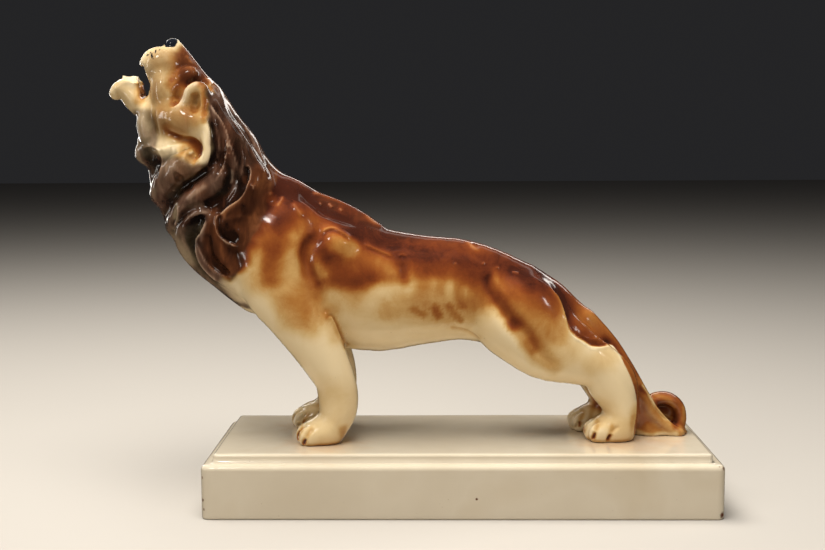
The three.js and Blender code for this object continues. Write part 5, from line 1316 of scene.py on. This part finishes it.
@dataclass
class Lion:
    """The glazed lion: the CAD mesh made dense, carved finer and painted."""

    voxel: float = 2.3                    # mm, size of the even mesh on the body
    fine_low: float = 150.0               # mm, above this height head and mane are finer
    fine_back: float = -120.0             # mm, in front of this
    foot_high: float = 58.0               # mm, below this height the feet are finer
    tail_front: float = 112.0             # mm, behind this the tail tip is finer
    tail_high: float = 80.0               # mm, below this height
    fold_reach: tuple = (2.4, 0.8)        # mm, how near a fold the mesh is finer, and finer again
    crisp: float = 0.38                   # folds sharper than this get the finest mesh
    relax_rounds: int = 2
    hollow_reach: tuple = (2.2, 5.0)      # mm, how wide the hollows are that hold more glaze
    forms: tuple = ()
    folds: tuple = ()
    dabs: tuple = ()

    def even_mesh(self) -> bpy.types.Mesh:
        """Copies the CAD mesh, merges it and makes it even.

        Returns:
            A closed mesh of squares of one size, in metres.
        """
        bm = bmesh.new()
        bm.from_mesh(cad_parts["lion"].data)
        bmesh.ops.remove_doubles(bm, verts=bm.verts, dist=0.01 * MM)
        mesh = bpy.data.meshes.new("lion_start")
        bm.to_mesh(mesh)
        bm.free()
        rough = bpy.data.objects.new("lion_start", mesh)
        bpy.context.scene.collection.objects.link(rough)
        remesh = rough.modifiers.new("even", "REMESH")
        remesh.mode = "VOXEL"
        remesh.voxel_size = self.voxel * MM
        shaped = rough.evaluated_get(bpy.context.evaluated_depsgraph_get())
        even = bpy.data.meshes.new_from_object(shaped)
        bpy.data.objects.remove(rough)
        return even

    def refine(self, mesh: bpy.types.Mesh) -> None:
        """Splits squares in four: on head, mane, feet and tail tip and near folds, then along folds."""
        for level, reach in enumerate(self.fold_reach):
            centre = np.empty(len(mesh.polygons) * 3)
            mesh.polygons.foreach_get("center", centre)
            centre = centre.reshape(-1, 3) / MM
            folds = [f for f in self.folds if level == 0 or f.sharp < self.crisp]
            fine = np.min([f.lift(centre)[1] for f in folds], axis=0) < reach
            if level == 0:
                x, y, z = centre.T
                fine |= (z > self.fine_low) & (x < self.fine_back)
                fine |= (z < self.foot_high) | ((x > self.tail_front) & (z < self.tail_high))
            bm = bmesh.new()
            bm.from_mesh(mesh)
            bm.faces.ensure_lookup_table()
            edges = list({e for i in np.nonzero(fine)[0] for e in bm.faces[i].edges})
            bmesh.ops.subdivide_edges(bm, edges=edges, cuts=1, use_grid_fill=True)
            bmesh.ops.triangulate(bm, faces=[f for f in bm.faces if len(f.verts) > 4])
            bm.to_mesh(mesh)
            bm.free()

    def settle(self, mesh: bpy.types.Mesh, figure: Figure) -> np.ndarray:
        """Moves the mesh onto the figure's surface and spreads its points evenly along it.

        Args:
            mesh: The even mesh, in metres. Its points are changed.
            figure: The surface.

        Returns:
            The points in millimetres.
        """
        count = len(mesh.vertices)
        p = np.empty(count * 3)
        mesh.vertices.foreach_get("co", p)
        p = p.reshape(-1, 3) / MM
        ends = np.empty(len(mesh.edges) * 2, int)
        mesh.edges.foreach_get("vertices", ends)
        one, two = ends.reshape(-1, 2).T
        p = figure.settle(p, 3, 1.0)
        for turn in range(self.relax_rounds):
            total = np.stack([np.bincount(one, p[two, k], count) + np.bincount(two, p[one, k], count)
                              for k in range(3)], 1)
            number = np.bincount(one, minlength=count) + np.bincount(two, minlength=count)
            p = 0.4 * p + 0.6 * total / number[:, None]
            p = figure.settle(p, 2, 1.0)
        self.store(mesh, p)
        return p

    @staticmethod
    def store(mesh: bpy.types.Mesh, p: np.ndarray) -> None:
        """Puts points, in millimetres, on the mesh, held inside the CAD lion's box."""
        low = np.array(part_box("lion")[0]) / MM + 0.02
        high = np.array(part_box("lion")[1]) / MM - 0.02
        low[2] = GLAZED_SEAT
        mesh.vertices.foreach_set("co", (np.clip(p, low, high) * MM).ravel())
        mesh.update()

    def press(self, mesh: bpy.types.Mesh, p: np.ndarray) -> np.ndarray:
        """Presses the folds into the surface, where it faces sideways.

        Args:
            mesh: The settled mesh. Its points are changed.
            p: Its points in millimetres.

        Returns:
            How far each point is raised, in millimetres.
        """
        out = np.empty(len(p) * 3)
        mesh.vertex_normals.foreach_get("vector", out)
        out = out.reshape(-1, 3)
        side = np.clip((np.abs(out[:, 1]) - 0.12) / 0.3, 0, 1)
        raised = sum(fold.lift(p)[0] for fold in self.folds) * side * side * (3 - 2 * side)
        self.store(mesh, p + out * raised[:, None])
        return raised

    def gather(self, figure: Figure, p: np.ndarray) -> tuple:
        """Finds where glaze gathers, and the crests, where the glaze runs thinner and the colour is also lightened as
        a painted highlight.

        Args:
            figure: The surface.
            p: Points on it, in millimetres.

        Returns:
            How hollow the surface is at each point, and how sharp a crest, nought to one.
        """
        here = figure.gap(p)
        out = figure.slope(p, here)
        out /= np.maximum(np.linalg.norm(out, axis=1, keepdims=True), TINY)
        hollow, crest = np.zeros(len(p)), np.zeros(len(p))
        for reach in self.hollow_reach:
            hollow += np.clip(1 - (figure.gap(p + reach * out) - here) / reach, 0, 1)
            crest += np.clip(1 + (figure.gap(p - reach * out) - here) / reach, 0, 1)
        return np.clip(hollow * 0.9, 0, 1), np.clip(crest * 0.9, 0, 1)

    def paint(self, mesh: bpy.types.Mesh, figure: Figure, p: np.ndarray, raised: np.ndarray) -> None:
        """Stores the colours' densities, and where glaze gathers, on the points.

        Args:
            mesh: The mesh to store them on.
            figure: The surface.
            p: Its points in millimetres, before the folds.
            raised: How far folds raise each point.
        """
        hollow, crest = self.gather(figure, p)
        # the crest value, raised further on fold ridges, lightens the colour: partly glaze running thinner, partly a
        # painted highlight
        values = {"hollow": np.clip(hollow - raised * 0.45, 0, 1),
                  "crest": np.clip(crest * 0.35 + raised * 0.9, 0, 1),
                  **{layer.value: lay(self.dabs, layer, p) for layer in Layer}}
        for name, v in values.items():
            store = mesh.attributes.new(name, "FLOAT", "POINT")
            store.data.foreach_set("value", v.astype(np.float32))
            log.info("  %s: mean %.3f, most %.3f", name, v.mean(), v.max())

    def build(self, material: bpy.types.Material) -> bpy.types.Object:
        """Makes the finished lion.

        Args:
            material: The lion's glaze.

        Returns:
            The finished object.
        """
        figure = Figure(self.forms)
        mesh = self.even_mesh()
        self.refine(mesh)
        log.info("lion mesh: %d points, %d faces", len(mesh.vertices), len(mesh.polygons))
        p = self.settle(mesh, figure)
        raised = self.press(mesh, p)
        self.paint(mesh, figure, p, raised)
        mesh.materials.clear()
        mesh.materials.append(material)
        mesh.shade_smooth()
        mesh.name = "lion_glazed"
        lion = bpy.data.objects.new("lion_glazed", mesh)
        bpy.context.scene.collection.objects.link(lion)
        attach(lion, "root")
        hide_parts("lion")
        return lion


@dataclass(frozen=True)
class PlinthGlaze:
    """Plain cream glaze, with worn brown corners and a haze of ochre where the lion stands."""

    relief: bpy.types.NodeTree
    specks: bpy.types.NodeTree
    name: str = "plinth_glaze"
    roughness: float = 0.18
    chips: tuple = (        # (x, y, z, half width) in mm of worn brown places
        (-164.4, -61.4, 27, 1.3), (-164.4, -61.4, 12.5, 1.5), (-163.6, -62, 6.5, 1.2),
        (164.2, -61.4, 33.4, 1.8), (163.6, -62, 3.2, 2.2), (161, -61.8, 35, 1.2),
        (9.2, -62.4, 13.6, 0.9), (158, -55.6, 40.2, 1.3), (-158, -55.6, 40.2, 1.0),
        (164.4, 61.4, 30, 1.6), (-164.4, 61.4, 8, 1.6))
    stains: tuple = (       # (x, y, z, half width) in mm of ochre run out round feet and tail
        (-90, -24, 40.7, 24), (-99, 24, 40.7, 24), (98, -24, 40.7, 24), (90, 24, 40.7, 24),
        (128, -6, 40.7, 24), (112, -20, 40.7, 12))

    @staticmethod
    def _spots(n: Nodes, where: bpy.types.NodeSocket, fuzz: bpy.types.NodeSocket, spots: tuple,
               soft: float) -> bpy.types.NodeSocket:
        """A mask of round spots with ragged edges.

        Args:
            n: The nodes of the material.
            where: Object coordinates.
            fuzz: Noise around nought, which makes the edges ragged.
            spots: (x, y, z, half width) of each spot, in millimetres.
            soft: How wide the spots' edges are, as a share of their half width.

        Returns:
            The mask, one inside the spots.
        """
        mask = None
        for x, y, z, size in spots:
            gap = n.add("ShaderNodeVectorMath", operation="DISTANCE")
            n.put(gap, 0, where)
            n.put(gap, 1, (x * MM, y * MM, z * MM))
            far = n.math("ADD", n.math("DIVIDE", gap.outputs["Value"], size * MM), fuzz)
            spot = n.reach(far, 1 - soft, 1 + soft * 0.5, 1.0, 0.0)
            mask = spot if mask is None else n.math("MAXIMUM", mask, spot)
        return mask

    def material(self) -> bpy.types.Material:
        """Builds the material.

        Returns:
            The plinth's material.
        """
        mat = bpy.data.materials.new(self.name)
        mat.use_nodes = True
        n = Nodes(mat.node_tree)
        shader = mat.node_tree.nodes["Principled BSDF"]
        where = n.where()
        cloud = n.noise(where, 14.0, 3.0, 0.5, 0.3)
        colour = n.ramp(cloud, [(0.30, srgb(202, 189, 166)), (0.55, srgb(209, 197, 175)),
                                (0.75, srgb(199, 184, 158))])
        fuzz = n.math("MULTIPLY", n.math("SUBTRACT", n.noise(where, 90.0, 4.0, 0.6), 0.5), 1.6)
        stain = n.math("MULTIPLY", self._spots(n, where, fuzz, self.stains, 0.9), 0.42)
        colour = n.mix(stain, colour, srgb(196, 150, 100))
        worn = self._spots(n, where, n.math("SUBTRACT", n.noise(where, 900.0, 3.0, 0.6), 0.5),
                           self.chips, 0.5)
        colour = n.mix(worn, colour, srgb(92, 52, 30))
        speck = n.group(self.specks, Vector=where, Amount=0.5).outputs["Mask"]
        colour = n.mix(speck, colour, srgb(120, 84, 50))
        n.put(shader, "Base Color", colour)
        skin = n.group(self.relief, Vector=where, Ripple=1.0, Pits=0.25).outputs["Height"]
        bump = n.add("ShaderNodeBump")
        n.put(bump, "Strength", 0.15)
        n.put(bump, "Distance", 0.0005)
        n.put(bump, "Height", skin)
        n.put(shader, "Normal", bump.outputs["Normal"])
        shader.inputs["Roughness"].default_value = self.roughness
        shader.inputs["Coat Weight"].default_value = 0.7
        shader.inputs["Coat Roughness"].default_value = 0.05
        return mat


@dataclass
class Plinth:
    """The glazed plinth: a block with rounded corners, and a slab on it set back by a ledge."""

    length: float = 330.0
    depth: float = 125.0
    block: float = 35.0
    height: float = 40.7
    ledge: float = 6.8
    corner: float = 5.0
    edge: float = 3.2
    slab_edge: float = 2.0
    slab_corner: float = 3.0
    foot_edge: float = 1.2

    @staticmethod
    def _round(bm: bmesh.types.BMesh, edges: list, size: float, segments: int) -> None:
        """Rounds some edges off."""
        bmesh.ops.bevel(bm, geom=edges, offset=size * MM, offset_type="OFFSET", segments=segments,
                        affect="EDGES", profile=0.5, material=-1, clamp_overlap=True)

    def _slab_corners(self, top: bmesh.types.BMFace) -> None:
        """Gives the slab corners of its own radius.

        Args:
            top: The block's top face, already inset by the ledge.
        """
        half = Vector((self.length / 2, self.depth / 2, 0)) * MM
        for v in top.verts:
            outer = next(e.other_vert(v) for e in v.link_edges if e.other_vert(v) not in top.verts)
            quarter = Vector((math.copysign(1, outer.co.x), math.copysign(1, outer.co.y), 0))
            middle = quarter * (half - Vector((self.corner, self.corner, 0)) * MM)
            way = (outer.co - middle).xy.to_3d() / self.corner
            inset = self.ledge + self.slab_corner
            v.co.xy = (quarter * (half - Vector((inset, inset, 0)) * MM) + way * self.slab_corner).xy

    def _cut(self, bm: bmesh.types.BMesh, places: Iterable[float], axis: int) -> None:
        """Cuts the plinth across at some places, so that its flat sides have points to move.

        Args:
            bm: The plinth.
            places: Where, in millimetres.
            axis: 0 for cuts along x, 1 along y, 2 along z.
        """
        for place in places:
            normal, point = Vector((0, 0, 0)), Vector((0, 0, 0))
            normal[axis], point[axis] = 1, place * MM
            bmesh.ops.bisect_plane(bm, geom=[*bm.verts, *bm.edges, *bm.faces], dist=1e-6,
                                   plane_co=point, plane_no=normal)

    @staticmethod
    def _rim(bm: bmesh.types.BMesh, z: float, outer: float) -> list:
        """Sharp edges that lie flat at a height.

        Args:
            bm: The plinth.
            z: The height in millimetres.
            outer: How far out an edge's middle lies at least, as a share of the half sizes.

        Returns:
            The edges.
        """
        found = []
        for e in bm.edges:
            a, b = (v.co / MM for v in e.verts)
            if abs(a.z - z) < 0.01 and abs(b.z - z) < 0.01 and len(e.link_faces) == 2:
                tilt = e.link_faces[0].normal.angle(e.link_faces[1].normal, 0.0)
                middle = (a + b) / 2
                if tilt > 0.5 and max(abs(middle.x) / 165, abs(middle.y) / 62.5) > outer:
                    found.append(e)
        return found

    def _warp(self, bm: bmesh.types.BMesh) -> None:
        """Lets the hand-made clay be a little out of true, always inwards."""
        for v in bm.verts:
            x, y, z = v.co / MM
            if z < 2:
                continue
            wave = math.sin(x / 41 + 0.7) * math.sin(y / 29 + 1.9)
            v.co.z -= (0.14 + 0.13 * wave) * (z / self.height) * MM
            side = math.sin(x / 57 + z / 23) + math.sin(x / 19 + 2.2) * 0.4
            v.co.y -= math.copysign((0.16 + 0.11 * side) * min(1.0, abs(y) / 40), y) * MM

    def build(self, material: bpy.types.Material) -> bpy.types.Object:
        """Makes the finished plinth.

        Args:
            material: The plinth's glaze.

        Returns:
            The finished object.
        """
        bm = bmesh.new()
        size = Matrix.Diagonal((self.length * MM, self.depth * MM, self.block * MM, 1))
        place = Matrix.Translation((0, 0, self.block * MM / 2))
        bmesh.ops.create_cube(bm, size=1.0, matrix=place @ size)
        upright = [e for e in bm.edges if abs(e.verts[0].co.z - e.verts[1].co.z) > 1 * MM]
        self._round(bm, upright, self.corner, 8)
        bm.normal_update()
        top = max(bm.faces, key=lambda f: f.normal.z * f.calc_area())
        bmesh.ops.inset_region(bm, faces=[top], thickness=self.ledge * MM, use_even_offset=True)
        self._slab_corners(top)
        raised = bmesh.ops.extrude_face_region(bm, geom=[top])
        bmesh.ops.translate(bm, vec=(0, 0, (self.height - self.block) * MM),
                            verts=[v for v in raised["geom"] if isinstance(v, bmesh.types.BMVert)])
        bmesh.ops.delete(bm, geom=[top], context="FACES_ONLY")
        bm.normal_update()
        self._round(bm, self._rim(bm, self.height, 0.0), self.slab_edge, 6)
        bm.normal_update()
        self._round(bm, self._rim(bm, self.block, 0.97), self.edge, 6)
        bm.normal_update()
        self._round(bm, self._rim(bm, 0.0, 0.0), self.foot_edge, 4)
        end = self.length / 2 - self.corner - 0.01
        side = self.depth / 2 - self.corner - 0.01
        inner = self.ledge + self.slab_edge + 0.6
        self._cut(bm, [*np.linspace(-end, end, 25), -end - 5 + inner + 0.01, end + 5 - inner - 0.01], 0)
        self._cut(bm, [*np.linspace(-side, side, 11), -side - 5 + inner + 0.01, side + 5 - inner - 0.01], 1)
        self._cut(bm, [1.6, 12, 22, self.block - self.edge - 0.3], 2)
        self._warp(bm)
        bmesh.ops.recalc_face_normals(bm, faces=bm.faces)
        mesh = bpy.data.meshes.new("plinth_glazed")
        bm.to_mesh(mesh)
        bm.free()
        mesh.materials.append(material)
        mesh.shade_smooth()
        plinth = bpy.data.objects.new("plinth_glazed", mesh)
        bpy.context.scene.collection.objects.link(plinth)
        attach(plinth, "root")
        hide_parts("plinth")
        log.info("plinth: %d faces", len(mesh.polygons))
        return plinth


# floor, light and camera

@dataclass(frozen=True)
class Softbox:
    """A soft light aimed at a point."""

    name: str
    place: tuple
    aim: tuple
    size: tuple
    watts: float
    colour: tuple = (1.0, 0.96, 0.90)
    glossy: bool = True     # whether the glaze mirrors it
    diffuse: bool = True    # whether it lights the colours below the glaze

    def build(self) -> bpy.types.Object:
        """Adds the light to the scene."""
        data = bpy.data.lights.new(self.name, "AREA")
        data.shape = "RECTANGLE"
        data.size, data.size_y = self.size
        data.energy = self.watts
        data.color = self.colour
        light = bpy.data.objects.new(self.name, data)
        bpy.context.scene.collection.objects.link(light)
        light.location = self.place
        light.visible_glossy = self.glossy
        light.visible_diffuse = self.diffuse
        way = Vector(self.aim) - Vector(self.place)
        light.rotation_euler = way.to_track_quat("-Z", "Y").to_euler()
        return light


@dataclass
class Studio:
    """A plain pale floor, soft lights and the camera of the photograph."""

    camera_at: tuple = (-16.06, -803.0, 238.8)   # mm
    yaw: float = -1.11                           # degrees
    pitch: float = 6.42
    roll: float = -0.30
    focal_pixels: float = 1211.1
    sensor: float = 36.0
    lights: tuple = ()

    def camera(self) -> bpy.types.Object:
        """Places the camera as the photograph's was."""
        yaw, pitch, roll = (math.radians(v) for v in (self.yaw, self.pitch, self.roll))
        ahead = Vector((math.sin(yaw) * math.cos(pitch), math.cos(yaw) * math.cos(pitch),
                        -math.sin(pitch)))
        right = Vector((math.cos(yaw), -math.sin(yaw), 0))
        up = right.cross(ahead)
        turned = math.cos(roll) * right + math.sin(roll) * up
        upright = -math.sin(roll) * right + math.cos(roll) * up
        data = bpy.data.cameras.new("camera")
        data.sensor_width = self.sensor
        data.lens = self.focal_pixels * self.sensor / PHOTO_WIDTH
        data.clip_start, data.clip_end = 0.01, 50
        camera = bpy.data.objects.new("camera", data)
        bpy.context.scene.collection.objects.link(camera)
        turn = Matrix((turned, upright, -ahead)).transposed().to_4x4()
        camera.matrix_world = Matrix.Translation(Vector(self.camera_at) * MM) @ turn
        bpy.context.scene.camera = camera
        return camera

    def floor(self) -> bpy.types.Object:
        """Lays the floor, which is no part of the object."""
        bm = bmesh.new()
        bmesh.ops.create_grid(bm, x_segments=1, y_segments=1, size=6.0)
        mesh = bpy.data.meshes.new("floor")
        bm.to_mesh(mesh)
        bm.free()
        mat = bpy.data.materials.new("floor")
        mat.use_nodes = True
        shader = mat.node_tree.nodes["Principled BSDF"]
        shader.inputs["Base Color"].default_value = srgb(180, 175, 168)
        shader.inputs["Roughness"].default_value = 0.9
        shader.inputs["Specular IOR Level"].default_value = 0.0
        mesh.materials.append(mat)
        floor = bpy.data.objects.new("floor", mesh)
        floor.visible_glossy = False
        bpy.context.scene.collection.objects.link(floor)
        return floor

    def build(self) -> None:
        """Makes the whole studio."""
        self.camera()
        self.floor()
        for light in self.lights:
            light.build()
        world = bpy.data.worlds.new("studio")
        world.use_nodes = True
        ground = world.node_tree.nodes["Background"]
        ground.inputs["Color"].default_value = srgb(60, 60, 62)
        ground.inputs["Strength"].default_value = 0.4
        bpy.context.scene.world = world
        bpy.context.scene.view_settings.view_transform = "Standard"


LIGHTS = (
    Softbox("key", (-1.1, -1.2, 0.9), (-0.03, 0, 0.15), (0.7, 0.7), 5.2, glossy=False),
    Softbox("fill", (1.2, -1.2, 0.7), (0.0, 0, 0.12), (0.7, 0.7), 4.4, glossy=False),
    Softbox("top", (-0.25, -0.15, 1.35), (-0.05, 0, 0.1), (1.5, 0.8), 43.0, glossy=False),
    Softbox("glint", (-0.45, -0.95, 1.15), (-0.05, 0, 0.15), (0.10, 0.24), 2.2, diffuse=False),
    Softbox("side_glint", (0.9, -0.8, 0.8), (0.0, 0, 0.1), (0.08, 0.20), 0.9, diffuse=False),
    Softbox("front_glint", (-1.0, -0.55, 0.45), (-0.15, 0, 0.2), (0.05, 0.7), 1.3, diffuse=False),
    Softbox("soft_glint", (0.2, 0.8, 1.0), (0.0, 0, 0.1), (1.6, 0.14), 0.6, diffuse=False),
    Softbox("rim_front", (-0.70, 0.95, 0.50), (-0.15, 0, 0.2), (0.10, 0.8), 1.6, diffuse=False),
    Softbox("rim_left", (-1.1, 0.45, 0.45), (-0.15, 0, 0.2), (0.10, 0.8), 0.9, diffuse=False),
    Softbox("rim_back", (0.2, 1.3, 0.75), (0.0, 0, 0.18), (1.8, 0.12), 3.2, diffuse=False),
)


def feet(name: str, middle: tuple, length: float, width: float, stride: float) -> list:
    """The forms of a pair of feet: a pad, a row of toes swept round its front, and their slots.

    Args:
        name: Which feet.
        middle: The near foot's middle.
        length: From heel to toes.
        width: Across.
        stride: How far the far foot is set forward.

    Returns:
        The forms, in the order that they are melted together.
    """
    x, y, z = middle

    def toe(i: float) -> tuple:
        """Where a toe lies, counted from nought on the inner side."""
        across = 2 * i / (TOES - 1) - 1
        ahead = (length / 2 - TOE_INSET) * math.cos(TOE_SWEEP * across)
        return x - ahead, y + TOE_SPREAD * width * across, SEAT + TOE_HEIGHT

    out: list = [Ball(f"{name} pad", 5, middle, (length / 2, width / 2, PAD_HEIGHT), PAD_TILT,
                      pair=True, stride=stride)]
    out += [Ball(f"{name} toe", 2, toe(i), TOE_RADII, 0, pair=True, stride=stride)
            for i in range(TOES)]
    for i in range(TOES - 1):
        tx, ty, tz = toe(i + 0.5)
        out.append(Chain(f"{name} slot", 1.5, ((tx - 8, ty, tz - 6, 2.5, 0.9),
                                               (tx - 6, ty, tz + 6, 3, 1)),
                         cut=True, pair=True, stride=stride))
    return out


TOES = 4
TOE_RADII = (7.5, 4.4, 7)
TOE_HEIGHT = 5
TOE_INSET = 4.5
TOE_SWEEP = 0.75
TOE_SPREAD = 0.36
PAD_HEIGHT = 11
PAD_TILT = 8



def figure_forms() -> tuple:
    """All the lion's forms in the order that they are melted together."""
    front = feet("front foot", (-91.4, -23.5, 47), 28, 26, -9)
    hind = feet("hind foot", (98.6, -15, 47), 29, 25, -8)
    return (*TRUNK, *HEAD, *MANE, *LEGS, *front, *hind, *TAIL, *CARVING)


def main() -> None:
    """Builds every piece in order and reports it."""
    logging.basicConfig(level=logging.INFO, format="%(relativeCreated)7.0f ms %(message)s")
    skin = GlazeSkin()
    relief, specks = skin.relief(), skin.specks()
    Studio(lights=LIGHTS).build()
    Plinth().build(PlinthGlaze(relief, specks).material())
    Lion(forms=figure_forms(), folds=FOLDS, dabs=DABS).build(LionGlaze(relief, specks).material())
    log.info("all pieces built")


if __name__ == "__main__":
    main()
